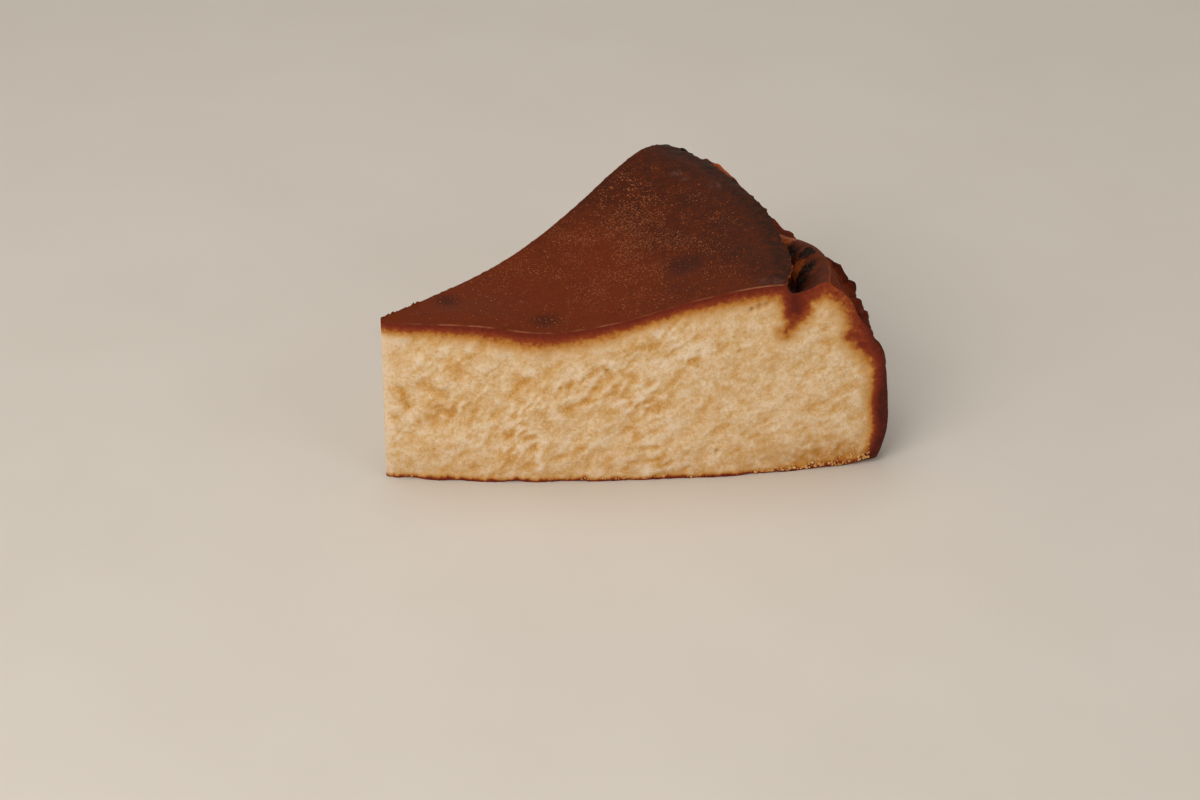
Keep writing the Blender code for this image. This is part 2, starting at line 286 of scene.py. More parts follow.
def through(stations, x):
    """The values at x of a smooth curve through (x, value) stations, flat past both ends."""
    at = np.array([station[0] for station in stations], float)
    value = np.array([station[1] for station in stations], float)
    slope = (np.r_[value[1:], value[-1]] - np.r_[value[0], value[:-1]]) / (
        np.r_[at[1:], at[-1]] - np.r_[at[0], at[:-1]]
    )
    x = np.asarray(x, float)
    index = np.clip(np.searchsorted(at, x) - 1, 0, len(at) - 2)
    width = at[index + 1] - at[index]
    u = np.clip((x - at[index]) / width, 0, 1)
    return (
        value[index] * (1 + 2 * u) * (1 - u) ** 2
        + slope[index] * width * u * (1 - u) ** 2
        + value[index + 1] * u * u * (3 - 2 * u)
        + slope[index + 1] * width * u * u * (u - 1)
    )


def smooth(low, high, x):
    """Rises smoothly from 0 at low to 1 at high."""
    u = np.clip((np.asarray(x, float) - low) / (high - low), 0, 1)
    return u * u * (3 - 2 * u)


def field(x, y, z=0.0):
    """Smooth noise at the points of three arrays, between about -1 and 1."""
    x, y, z = np.broadcast_arrays(np.asarray(x, float), y, z)
    spots = zip(x.ravel().tolist(), y.ravel().tolist(), z.ravel().tolist())
    return np.array([noise.noise(spot) for spot in spots]).reshape(x.shape)


def layered(layers, x, y, seed=0.0):
    """Noise at the points of two arrays, as the sum of layers of (height, size, seed)."""
    return sum(height * field(x / size, y / size, seed + own) for height, size, own in layers)


def within(margin, x):
    """0 at both ends of a run from 0 to 1, rising smoothly to 1 over the margin."""
    return smooth(0, margin, x) * smooth(1, 1 - margin, x)


def cells(x, y, z=0.0):
    """Distance to the nearest scattered point, at the points of three arrays."""
    x, y, z = np.broadcast_arrays(np.asarray(x, float), y, z)
    spots = zip(x.ravel().tolist(), y.ravel().tolist(), z.ravel().tolist())
    return np.array([noise.voronoi(spot)[0][0] for spot in spots]).reshape(x.shape)


def near_bulge(radius):
    """How far the near cut bows out from its chord."""
    along = np.clip(radius / WALL_RADIUS, 0, 1)
    return NEAR_CUT_BULGE * np.sin(math.pi * along) ** BULGE_FULLNESS


def place(radius, share, height):
    """Points at a radius and a height, with share 0 on the near cut and 1 on the far cut."""
    radius, share, height = np.broadcast_arrays(np.asarray(radius, float), share, height)
    angle = np.radians(WEDGE_ANGLE * share)
    curl = TIP_CURL * np.maximum(0, 1 - radius / TIP_CURL_LENGTH) ** 2 * (1 - share)
    shift = curl - near_bulge(radius) * (1 - share) ** 2
    return np.stack((radius * np.cos(angle), radius * np.sin(angle) + shift, height), -1)


def skin_height(radius, share):
    """Height of the sagging top skin."""
    across = smooth(0, 1, share)
    level = through(NEAR_SKIN, radius) * (1 - across) + through(FAR_SKIN, radius) * across
    point = place(radius, share, 0) / SKIN_WAVE_LENGTH
    return level + SKIN_WAVE * np.sin(math.pi * share) * field(point[..., 0], point[..., 1], NEAR_SEED)


def skin_edge(share):
    """Radius of the torn edge of the skin, jagged away from the near cut."""
    angle = WEDGE_ANGLE * np.asarray(share, float)
    jags = 0.55 * field(angle * 0.9, 3.1) + 0.3 * field(angle * 2.6, 8.4) + 0.14 * field(angle * 6.0, 1.7)
    return through(SKIN_EDGE_RADIUS, angle) + jags * smooth(0, 0.05, share) * smooth(1, 0.97, share)


def top_point(stretch, share):
    """(radius, height) of the top. stretch runs from 0 to 1 over the skin, on to 2 down the crack, and on
    to 3 up the shoulder."""
    stretch, share = np.broadcast_arrays(np.asarray(stretch, float), share)
    angle = WEDGE_ANGLE * share
    edge = skin_edge(share)
    crest = through(CREST_RADIUS, angle)
    crest_height = through(CREST_HEIGHT, angle)
    floor = edge + through(CRACK_FLOOR_OUT, angle)
    over_skin = np.clip(stretch, 0, 1)
    down = np.clip(stretch - 1, 0, 1)
    up = np.clip(stretch - 2, 0, 1)
    skin_radius = TIP_RADIUS + (edge - TIP_RADIUS) * over_skin
    edge_height = skin_height(edge, share)
    floor_height = np.minimum(edge_height, crest_height) - through(CRACK_DEPTH, angle)
    radius = skin_radius + (floor - edge) * down + (crest - floor) * up
    fall = edge_height + (floor_height - edge_height) * np.sin(down * math.pi / 2)
    climb = np.sin(up * math.pi / 2) ** through(SHOULDER_FULLNESS, angle)
    rise = floor_height + (crest_height - floor_height) * climb + CREST_SWELL * np.sin(math.pi * up**2)
    return radius, np.where(stretch <= 1, skin_height(skin_radius, share), np.where(stretch <= 2, fall, rise))


def pleat_offset(angle, height):
    """How far the folds of the paper push the wall out."""
    offset = np.zeros(np.broadcast(angle, height).shape)
    for centre, top, foot, proud, half_width, lean in PLEATS:
        middle = centre + lean * (height - foot) / (top - foot)
        across = np.abs(np.radians(angle - middle) * WALL_RADIUS / half_width)
        tall = smooth(top, top - PLEAT_TOP_FADE, height)
        tall = tall * smooth(foot - PLEAT_FOOT_FADE, foot + PLEAT_FOOT_FADE, height)
        offset += proud * tall * np.clip(1 - across, 0, 1) ** PLEAT_SHARPNESS
    return offset


def wall_point(share, level):
    """(radius, height) on the outer wall, with level 0 at the foot and 1 at the crest."""
    share, level = np.broadcast_arrays(np.asarray(share, float), level)
    angle = WEDGE_ANGLE * share
    crest_height = through(CREST_HEIGHT, angle)
    height = crest_height * level
    overhang = through(WALL_OUTLINE, crest_height) - through(CREST_RADIUS, angle)
    overhang = overhang + through(NEAR_EDGE_OUT, crest_height) * smooth(NEAR_EDGE_FADE, 0, angle)
    pull = overhang * np.exp((height - crest_height) / CREST_ROUND)
    inside = within(0.06, share) * smooth(1, 0.93, level) * smooth(0, 0.1, level)
    arc = np.radians(angle) * WALL_RADIUS
    wave = WALL_WAVE * field(arc / WALL_WAVE_LENGTH, height / (2 * WALL_WAVE_LENGTH), NEAR_SEED)
    near_edge = through(NEAR_EDGE_OUT, height) * smooth(NEAR_EDGE_FADE, 0, angle)
    outline = through(WALL_OUTLINE, height) + near_edge
    return outline - pull + inside * (pleat_offset(angle, height) + wave), height


def coarse_tear(along, height, seed):
    """The slanting tears that the part's source has on its cut faces."""
    turn = math.radians(TEAR_ANGLE)
    lengthways = (along * math.cos(turn) + height * math.sin(turn)) / TEAR_LENGTH
    crossways = (height * math.cos(turn) - along * math.sin(turn)) / TEAR_WIDTH
    strength = TEAR_RELIEF * (1 - FINE_TEAR_SHARE * smooth(WALL_RADIUS / 3, WALL_RADIUS * 3 / 4, along))
    return strength * field(lengthways, crossways, seed)


def foot_lift(radius, share):
    """How far the ragged lower edge stands off the plate, most at the near cut's outer corner."""
    point = place(radius, share, 0) / LIFT_LENGTH
    ragged = BASE_LIFT * np.maximum(0, field(point[..., 0], point[..., 1], NEAR_SEED))
    fine = 0.3 * np.maximum(0, field(point[..., 0] * 4.5, point[..., 1] * 4.5, FAR_SEED))
    outer = smooth(WALL_RADIUS - CORNER_LENGTH, WALL_RADIUS - CORNER_LENGTH / 3, radius)
    return ragged + fine + CORNER_LIFT * outer * smooth(0.08, 0, share)


def from_segment(along, height, start, end):
    """Distance in the cut's plane from the straight line between two points."""
    start = np.array(start, float)
    line = np.array(end, float) - start
    share = ((along - start[0]) * line[0] + (height - start[1]) * line[1]) / (line @ line)
    share = np.clip(share, 0, 1)
    return np.hypot(along - start[0] - share * line[0], height - start[1] - share * line[1])


def streaks(along, height, seed):
    """Torn streaks, from 0 on the soft lumps to 1 in the crevices between them."""
    total = np.zeros_like(along)
    weights = np.zeros_like(along)
    wander = 1.1 * field(along / 5, height / 5, seed + 3) + 0.5 * field(along / 1.7, height / 1.7, seed + 8)
    for centre, slant in STREAK_BANDS:
        weight = np.clip(1 - np.abs(along - centre) / STREAK_BAND_WIDTH, 0, 1)
        turn = math.radians(slant)
        lengthways = (along * math.cos(turn) + height * math.sin(turn)) / STREAK_LENGTH
        crossways = (height * math.cos(turn) - along * math.sin(turn) + wander) / STREAK_WIDTH
        wave = field(lengthways, crossways, seed + slant)
        wave += 0.45 * field(lengthways * 2.1, crossways * 2.0, seed + slant + 5)
        total += weight * wave
        weights += weight
    wave = total / weights
    crevice = smooth(-0.02, -0.42, wave) + 0.25 * np.clip(1 - np.abs(wave - 0.05) / 0.16, 0, 1)
    return crevice, wave


def cut_relief(along, height, seed, crevices, pits):
    """(relief, hollow) of a torn cut face: how far a spot stands out, and how deep it sits in the crumb,
    which the colour shows partly as painted shade.
    """
    crevice, wave = streaks(along, height, seed)
    patchy = 0.5 + 0.9 * np.clip(field(along / 11, height / 8, seed + 11) + 0.3, 0, 1)
    calm = 1 - 0.45 * smooth(WALL_RADIUS * 0.45, WALL_RADIUS * 0.75, along)
    strength = patchy * calm * (0.4 + 0.6 * smooth(0.5, 5, along))
    lumps = field(along / LUMP_SIZE, height / LUMP_SIZE, seed + 1)
    curd = 0.5 - cells(along / CURD_SIZE, height / CURD_SIZE, seed + 2)
    grain = field(along / GRAIN_SIZE, height / GRAIN_SIZE, seed + 2)
    relief = STREAK_DEPTH * strength * (np.tanh(2.4 * wave) - 0.4 * crevice)
    relief += LUMP_HEIGHT * lumps + GRAIN_HEIGHT * grain + CURD_HEIGHT * curd
    # This darkens the crumb's colour in crevices, pits and between lumps: partly its own tone, partly painted
    # shade.
    hollow = 0.85 * strength * (0.8 * crevice - 1.3 * wave) - 0.35 * lumps - 0.3 * grain - 0.4 * curd
    ragged = layered(CREVICE_EDGE, along, height, seed)
    for a0, h0, a1, h1, half_width, depth in crevices:
        gap = from_segment(along, height, (a0, h0), (a1, h1)) + ragged
        inside = smooth(half_width * 2.0, -0.2, gap)
        relief -= 0.6 * depth * inside
        hollow += 1.15 * inside
    for a, h, radius, depth in pits:
        inside = smooth(radius, radius * 0.35, np.hypot(along - a, height - h) + 0.4 * ragged)
        relief -= depth * inside
        hollow += 0.8 * inside
    crumbly, lump = crumbly_foot(along, height, seed)
    relief += crumbly * (CRUMBLE_HEIGHT * lump - 0.32)
    return relief, hollow + crumbly * (1.1 - 1.7 * lump)


def crumbly_foot(along, height, seed):
    """(strength, lump) of the loose lumps along the foot of a cut, strongest towards the wall."""
    low = height + 1.6 * field(along / 4, height / 4, seed + 6)
    crumbly = smooth(WALL_RADIUS - 30, WALL_RADIUS - 10, along) * smooth(7.5, 2.0, low)
    crumbly = np.maximum(crumbly, 0.5 * smooth(1.8, 0.4, height))
    bead = cells(along / CRUMBLE_SIZE, height / CRUMBLE_TALL, seed)
    return crumbly, np.clip(1 - (bead / 0.75) ** 2, 0, 1)


def top_and_wall(share):
    """The outline of a cut as (along, height) points over the top and down the wall, and at each point the
    reading that the browned layer starts at, its flat depth and its climb."""
    stretch = np.linspace(0, 3, TOP_STEPS)
    radius, top = top_point(stretch, np.full_like(stretch, share))
    wall_radius, wall_height = wall_point(np.full(WALL_STEPS, share), np.linspace(1, 0, WALL_STEPS))
    line = np.concatenate((np.c_[radius, top], np.c_[wall_radius, wall_height][1:]))
    start = np.r_[through(SHOULDER_START, stretch), through(WALL_START, wall_height)[1:]]
    flat = np.r_[through(SHOULDER_FLAT, stretch), through(WALL_FLAT, wall_height)[1:]]
    climb = np.r_[through(SKIN_CLIMB, radius), through(WALL_CLIMB, wall_height)[1:]]
    return line, start, flat, climb


def crust_depth(along, height, share, stains, seed):
    """Reading of how far a spot of a cut lies under the browned surface, for CRUST_COLOURS."""
    line, start, flat, climb = top_and_wall(share)
    depth = np.full(along.shape, np.inf)
    for index in range(len(line) - 1):
        gap = from_segment(along, height, line[index], line[index + 1])
        depth = np.minimum(depth, start[index] + np.maximum(gap - flat[index], 0) * climb[index])
    foot = height - foot_lift(along[:, :1], share)
    foot = foot + 0.4 * field(along / 1.6, seed) + 0.25 * field(along / 0.6, seed + 1)
    foot_climb = BASE_CLIMB * (1 - 0.5 * smooth(60, 85, along))
    depth = np.minimum(depth, BASE_START + np.maximum(foot, 0) * foot_climb)
    for a0, h0, a1, h1, half_width, reads in stains:
        gap = from_segment(along, height, (a0, h0), (a1, h1)) - half_width
        gap += 0.5 * field(along / 1.1, height / 1.1, seed)
        depth = np.minimum(depth, reads + np.maximum(gap, 0) * STAIN_CLIMB)
    return depth


def cut_columns():
    """The stretch value of every column of the cut faces and every row of the top."""
    skin = np.linspace(0, 1, SKIN_SPANS + 1)
    down = 1 + np.linspace(0, 1, CRACK_SPANS + 1)[1:]
    up = 2 + np.linspace(0, 1, SHOULDER_SPANS + 1)[1:]
    return np.concatenate((skin, down, up))


def cut_levels():
    """The level of every row of the cut faces, closer together under the top edge."""
    height = CREST_HEIGHT[0][1]
    fine = 1 - np.array(EDGE_STEPS[::-1]) / height
    even = np.linspace(0, fine[0], CUT_ROWS - 1)
    return np.concatenate((even, fine[1:], (1.0,)))


def across(length, cell):
    """Shares from 0 to 1 over a row of this length, with closer steps at both ends."""
    margin = EDGE_STEPS[-1]
    if length < 6 * margin:
        return np.linspace(0, 1, TIP_SPANS + 1)
    spans = max(2, round((length - 2 * margin) / cell))
    even = np.linspace(margin, length - margin, spans + 1)
    ends = EDGE_STEPS[0]
    return np.concatenate(((0, ends), even, (length - ends, length))) / length


# What the points of the mesh store for the materials, and what it says there:
# crust: in the cuts, how far under the browned surface a spot lies
# roast: how yellow the crumb is, how dark the skin has baked, the torn orange of the shoulder, and the
#     stretch of the wall that belongs to the shoulder
# hollow: how deep a spot sits in the crumb, which darkens it partly as painted shade, the painted light that
# makes the tip paler, and the painted sheen on the skin
# char: the dimples of the skin, the blisters of the shoulder, and the burnt patches of the wall with painted
# shade in its creases and between its folds
# torn: the painted highlight along the near edge of the skin, the inner wall and floor of the crack, darkened
# as painted shade over partly burnt crust, and the pleats
# crest: the ridge of the shoulder, where the mesh is eased
READINGS = ("crust", "roast", "hollow", "char", "torn", "crest")


class Surface:
    """Gathers the points, the readings at each point and the faces of one closed mesh."""

    def __init__(self):
        self.points = []
        self.readings = {name: [] for name in READINGS}
        self.count = 0
        self.faces = []
        self.slots = []

    def add(self, points, **readings):
        """Adds an array of points and returns their numbers in an array of the same shape."""
        shape = points.shape[:-1]
        total = int(np.prod(shape))
        self.points.append(points.reshape(-1, 3))
        for name, values in self.readings.items():
            reading = readings.get(name, 0.0)
            values.append(np.broadcast_to(reading, shape).reshape(-1).astype(float))
        self.count += total
        return np.arange(self.count - total, self.count).reshape(shape)

    def grid(self, numbers, slot):
        """Faces over a grid of point numbers."""
        a, b, c, d = numbers[:-1, :-1], numbers[1:, :-1], numbers[1:, 1:], numbers[:-1, 1:]
        quads = np.stack((a, b, c, d), -1).reshape(-1, 4)
        self.faces.extend(map(tuple, quads.tolist()))
        self.slots.extend([slot] * len(quads))

    def stitch(self, first, second, slot):
        """Faces over the strip between two rows that may differ in number."""
        first, second = list(first), list(second)
        last_a, last_b = len(first) - 1, len(second) - 1
        a = b = 0
        while a < last_a or b < last_b:
            ahead_a, ahead_b = (a + 1) / max(last_a, 1), (b + 1) / max(last_b, 1)
            if b == last_b or (a < last_a and ahead_a <= ahead_b):
                corners = (first[a], first[a + 1], second[b])
                a += 1
            else:
                corners = (first[a], second[b + 1], second[b])
                b += 1
            if len(set(corners)) == 3:
                self.faces.append(corners)
                self.slots.append(slot)


# Material slots of the mesh.
CRUMB = 0
SKIN = 1
SHOULDER = 2
WALL = 3
BASE = 4


def cut_sheet(surface, share, normal, seed, crevices, pits, stains):
    """Points of one cut face, as columns from the tip to the wall and rows from the base up."""
    stretch = cut_columns()[:, None]
    level = cut_levels()[None, :]
    radius, height = top_point(stretch, share)
    u = np.linspace(0, 1, len(stretch))[:, None]
    foot, _ = wall_point(share, 0.0)
    crest, crest_height = radius[-1, 0], height[-1, 0]
    edge_height = height[SKIN_SPANS, 0]
    past_edge = np.clip((stretch - 1) / 2, 0, 1)
    even = np.where(past_edge == 0, height, edge_height + (crest_height - edge_height) * past_edge)
    base = TIP_RADIUS + (foot - TIP_RADIUS) * u
    side = wall_point(share, level)[0] - foot - (crest - foot) * level**2
    along = base + (radius - base) * level**2 + side * u**2
    z = even * level + (height - even) * level**3
    lift = foot_lift(along[:, :1], share)
    z = z + lift * smooth(1.2, 0, z) * (1 - smooth(0, 0.06, level))
    z[:, :1] = lift
    crust = crust_depth(along, z, share, stains, seed)
    out, hollow = cut_offset(along, z, u, level, seed, crust, crevices, pits)
    z[:, -1] += edge_ragged(radius[:, 0], share) * (stretch[:, 0] <= 1)
    # The painted highlight line along the skin's edge, kept on the cut's top row as well.
    line = np.zeros_like(z)
    line[:, -1] = painted_highlight_line(radius[:, 0], share)
    yellow = smooth(9, 1, z) * (0.25 + 0.75 * smooth(WALL_RADIUS - 34, WALL_RADIUS - 12, along))
    yellow = np.maximum(yellow, 0.8 * smooth(WALL_RADIUS - 7, WALL_RADIUS - 2, along))
    points = place(along, share, z) + np.array(normal) * out[..., None]
    return surface.add(points, crust=crust, hollow=hollow, roast=yellow, torn=line)


def cut_offset(along, z, u, level, seed, crust, crevices, pits):
    """(offset, hollow) of a cut face: how far a spot stands out of its plane, and how deep it sits."""
    coarse_fade = within(0.04, u) * smooth(1.0, 0.85, level)
    fine_fade = smooth(0, EDGE_MARGIN, u) * smooth(1, 0.985, u) * smooth(1.0, 0.975, level)
    relief, hollow = cut_relief(along, z, seed, crevices, pits)
    by_wall = smooth(WALL_RADIUS - 12, WALL_RADIUS - 6, along) * smooth(14, 20, z)
    rough = 0.35 * field(along / 1.5, z / 1.1, seed + 12) + 0.2 * field(along / 0.8, z / 0.8, seed + 13)
    crumb = np.maximum(smooth(0.9, 2.2, crust), by_wall)
    fine = (relief + by_wall * rough) * fine_fade * (0.35 + 0.65 * crumb)
    offset = coarse_tear(along, z, seed) * coarse_fade + fine
    # Painted light: the crumb is made paler right by the tip.
    return offset, hollow * fine_fade - 0.5 * smooth(0.03, 0.0, u)


def skin_relief(point, radius, edge):
    """(relief, dimple) of the skin: soft swells, dimples, and a torn edge that curls up a little."""
    x, y = point[..., 0], point[..., 1]
    relief = layered(SKIN_SWELLS, x, y)
    dimple = np.zeros_like(x)
    for dx, dy, half_length, half_width, depth in SKIN_DIMPLES:
        gap = np.hypot((x - dx) / half_length, (y - dy) / half_width)
        inside = np.exp(-((gap / 0.8) ** 2))
        relief -= depth * inside
        dimple += inside
    lip = smooth(LIP_WIDTH, 0.3, edge - radius)
    return relief + lip * (LIP_HEIGHT + layered(LIP_CURL, x, y)), dimple


def edge_ragged(radius, share):
    """How far the skin's edge along the far cut stands up in tiny ragged bits, most near the tip."""
    bits = np.maximum(0, field(radius * 1.15, 2.5)) + 0.5 * np.maximum(0, field(radius * 2.9, 7.5))
    return (0.25 + 0.75 * smooth(20, 4, radius)) * bits * smooth(0.965, 1.0, share) * smooth(0.9, 2.5, radius)


def skin_roast(point, radius, share):
    """How dark the skin has baked, from 0 near the tip to 1 at the torn rim and the far corner."""
    cloud = layered(ROAST_CLOUDS, point[..., 0], point[..., 1])
    rim = 0.9 * smooth(4.5, 0.2, skin_edge(share) - radius) * smooth(0.0, 0.08, share)
    return smooth(40, 74, radius + cloud + 5.0 * share) + 0.35 * smooth(70, 84, radius) * share + rim


def skin_painted_sheen(point):
    """Painted sheen: the greyish glossy spots of the skin."""
    x, y = point[..., 0], point[..., 1]
    painted_sheen = np.zeros_like(x)
    for sx, sy, radius in SKIN_SHEEN_SPOTS:
        painted_sheen = np.maximum(painted_sheen, smooth(radius * 1.5, 0, np.hypot(x - sx, y - sy)))
    return painted_sheen * np.clip(0.6 + 1.2 * field(x / 0.9, y / 0.9, 3.9), 0, 1)


def painted_highlight_line(radius, share):
    """The broken pale line where light catches the edge of the skin along the near cut."""
    off_edge = np.abs(math.radians(WEDGE_ANGLE) * radius * share - RIM_OFFSET)
    broken = 0.5 + 1.1 * field(radius / 3.2, 4.4) + 0.7 * field(radius / 0.9, 6.4)
    stretch = smooth(3, 10, radius) * (1 - 0.6 * smooth(36, 48, radius) * smooth(70, 62, radius))
    return smooth(RIM_WIDTH, 0, off_edge) * np.clip(broken, 0, 1) * stretch


def patches(spots, x, y, ragged, core):
    """Cover by ragged patches, each (x, y, radius): 1 up to core times the radius, fading to 0 past it."""
    cover = np.zeros_like(x)
    for spot_x, spot_y, radius in spots:
        gap = np.hypot(x - spot_x, y - spot_y) + ragged
        cover = np.maximum(cover, smooth(radius * 1.1, radius * core, gap))
    return cover


def domes(x, y, size, seed, width):
    """Round bubbles about size apart, 0 between them and 1 on top."""
    return np.sqrt(np.clip(1 - (cells(x / size, y / size, seed) / width) ** 2, 0, 1))


def shoulder_marks(point, up, ragged, near_crack):
    """(char, orange) of the shoulder: black by the crack and along the far rim, orange where it tore."""
    x, y, z = np.moveaxis(point, -1, 0)
    char = patches(BLISTERS, x, y, ragged, 0.6)
    char = np.maximum(char, 0.45 * near_crack * np.clip(0.3 + 1.2 * field(x / 3.0, y / 3.0, z / 3.0), 0, 1))
    orange = patches(ORANGE_PATCHES, x, y, ragged, 0.5)
    orange = np.maximum(orange * (1 - char), 0.12 * smooth(0.6, 1.0, up))
    charred = smooth(CHARRED_FROM, CHARRED_FROM + 5, y) * np.clip(0.9 + 1.3 * ragged, 0, 1)
    return np.maximum(char, charred * (1 - 0.8 * orange)), orange


def shoulder_relief(point, up):
    """(relief, char, orange) of the shoulder: pebbled where it is black, chunky along the far rim."""
    x, y, z = np.moveaxis(point, -1, 0)
    ragged = 1.1 * field(x / 1.5, y / 1.5, z / 1.5) + 0.6 * field(x / 0.6, y / 0.6, z / 0.6)
    near_crack = smooth(0.95, 0.45, up) * smooth(0.0, 0.12, up)
    char, orange = shoulder_marks(point, up, ragged, near_crack)
    pebbled = np.maximum(0.35 * near_crack, char)
    bubbles = 0.25 * domes(x, y, 1.7, 3.0, 0.62) + 0.25 * domes(x, y, 0.8, 9.0, 0.6)
    rough = 0.14 * field(x / 0.8, y / 0.8, 5.0)
    relief = pebbled * (bubbles - 0.15 + rough) + 0.1 * field(x / 2.5, y / 2.5, 7.0)
    chunks = 1.2 * np.maximum(0, field(x / 1.5, y / 1.5, 2.6)) + 0.4 * field(x / 0.7, y / 0.7, 5.6)
    relief += smooth(CHARRED_FROM, CHARRED_FROM + 8, y) * chunks
    x0, y0, x1, y1, height = RIM_FLAKE
    off_flake = from_segment(x, y, (x0, y0), (x1, y1)) + 0.5 * ragged
    relief += height * smooth(2.0, 0.6, off_flake) * smooth(0.1, 0.5, up)
    return relief, char, orange


def skin_row(point, radius, shares, inside):
    """Moves one row of the skin into its relief and returns its readings."""
    relief, dimple = skin_relief(point, radius, skin_edge(shares))
    point[..., 2] += relief * smooth(0.4, 3, radius) * inside + edge_ragged(radius, shares)
    roast = skin_roast(point, radius, shares)
    # torn holds the painted highlight line along the near edge, and hollow the painted sheen spots.
    return {"char": dimple, "roast": roast, "hollow": skin_painted_sheen(point), "torn": painted_highlight_line(radius, shares)}


def crack_row(point, height, shares, inside, down):
    """Moves one row of the crack's inner wall into its ledges and returns its readings."""
    angle = WEDGE_ANGLE * shares
    turn = np.radians(angle)
    outward = np.stack((np.cos(turn), np.sin(turn), 0 * turn), -1)
    ledge = 0.45 * field(angle * 1.7, height / 0.9, 3.3) + 0.2 * field(angle * 4.2, height / 0.5, 1.3)
    hollowed = UNDERCUT * math.sin(math.pi * min(1, down * 1.4)) * smooth(1.5, 4, through(CRACK_DEPTH, angle))
    point += outward * ((ledge - hollowed) * inside * math.sin(math.pi * down) ** 0.5)[:, None]
    # Painted shade over partly burnt crust: torn darkens the crack's inner wall.
    return {"torn": smooth(0.08, 0.5, down)}


def shoulder_row(point, radius, shares, inside, up):
    """Moves one row of the shoulder into its relief and returns its readings."""
    relief, char, orange = shoulder_relief(point, up)
    point[..., 2] += relief * inside
    ridge = (through(CREST_RADIUS, WEDGE_ANGLE * shares) - radius < CREST_REACH) * inside
    # Painted shade over partly burnt crust: torn darkens the shoulder's slope down into the crack.
    return {"char": char, "roast": orange, "torn": smooth(0.5, 0.0, up), "crest": ridge}


def top_rows(surface, near, far, crest_row):
    """Rows of the top from the tip to the crest, each from cut to cut, and their faces."""
    columns = cut_columns()
    rows = []
    for column, stretch in enumerate(columns[:-1]):
        middle_radius = float(top_point(stretch, 0.5)[0])
        cell = SKIN_CELL if stretch < 0.93 else SHOULDER_CELL
        shares = across(math.radians(WEDGE_ANGLE) * middle_radius, cell)[1:-1]
        radius, height = top_point(stretch, shares)
        point = place(radius, shares, height)
        inside = within(EDGE_MARGIN, shares)
        if stretch <= 1:
            readings = skin_row(point, radius, shares, inside)
        elif stretch < 2:
            readings = crack_row(point, height, shares, inside, stretch - 1)
        else:
            readings = shoulder_row(point, radius, shares, inside, stretch - 2)
        inner = surface.add(point, **readings)
        rows.append(np.r_[near[column, -1], inner, far[column, -1]])
    rows.append(crest_row)
    for column, (first, second) in enumerate(zip(rows, rows[1:])):
        slot = SKIN if columns[column + 1] <= 1 else SHOULDER
        surface.stitch(first, second, slot)
    return rows


def wall_folds(arc, height):
    """(folded, step) of the wall: where small folds overlap, and how far a spot is through its fold."""
    step = (height + 0.2 * arc + 1.2 * field(arc / 3, height / 6, 2.0)) / FOLD_STEP
    elsewhere = np.clip(0.1 + 1.6 * field(arc / 9, height / 14, 12.0), 0, 0.7) * smooth(21, 30, arc)
    folded = np.maximum(smooth(27, 21, arc) * smooth(4, 9, arc), elsewhere)
    return folded * smooth(19, 23, height) * smooth(38.5, 36.5, height), step - np.floor(step)


def wall_relief(arc, height):
    """(relief, char) of the wall: creases and folds that the paper pressed in, and burnt patches, with
    painted shade in the creases and between the folds.
    """
    sway = 0.9 * field(arc / 9, height / 9, 1.0)
    first = np.abs(field((arc + 0.25 * height) / 3.1 + sway, height / 11, 4.0))
    second = np.abs(field((arc - 0.7 * height) / 4.2, height / 8 + sway, 9.0))
    crease = np.clip(1 - first / 0.16, 0, 1) + 0.8 * np.clip(1 - second / 0.12, 0, 1)
    fine = field(arc / 1.1, height / 1.6, 6.0)
    folded, step = wall_folds(arc, height)
    relief = 0.15 - CREASE_DEPTH * crease + 0.12 * fine + 0.3 * field(arc / 4, height / 6, 8.0)
    relief += FOLD_HEIGHT * folded * (step * smooth(1.0, 0.88, step) - 0.4)
    char = np.clip(0.5 + 0.9 * field(arc / 5, height / 7, 5.0) + 0.4 * fine, 0, 1)
    # Painted shade: darker where one fold meets the next.
    char = char * (1 - folded) + folded * np.maximum(smooth(0.3, 0.05, step), smooth(0.93, 1.0, step))
    # Painted shade: darker down the creases.
    return relief, np.maximum(char, 0.9 * np.clip(crease, 0, 1) * smooth(1.0, 3.0, arc))


def wall_sheet(surface, near, far):
    """Points of the outer wall, as rows from the foot up to the crest, and their faces."""
    shares = across(math.radians(WEDGE_ANGLE) * WALL_RADIUS, WALL_CELL)[1:-1][None, :]
    levels = cut_levels()[:, None]
    radius, height = wall_point(shares, levels)
    angle = WEDGE_ANGLE * shares
    arc = np.radians(angle) * WALL_RADIUS
    relief, char = wall_relief(arc + 0 * height, height)
    inside = within(EDGE_MARGIN, shares)
    ends = smooth(0, 0.04, levels) * smooth(1, 0.94, levels)
    radius = radius + relief * inside * ends
    lift = foot_lift(radius, shares)
    height = np.where(levels == 0, lift, height + lift * smooth(1.5, 0, height))
    pleat = pleat_offset(angle, height)
    shoulder = smooth(10, 5, angle) * smooth(30, 35, height)
    ridge = (through(CREST_HEIGHT, angle) - height < CREST_REACH) * inside
    point = place(radius, shares, height)
    inner = surface.add(point, char=char * (1 - shoulder), torn=pleat, roast=shoulder, crest=ridge)
    rows = np.concatenate((near[-1][:, None], inner, far[-1][:, None]), 1)
    surface.grid(rows, WALL)
    return rows


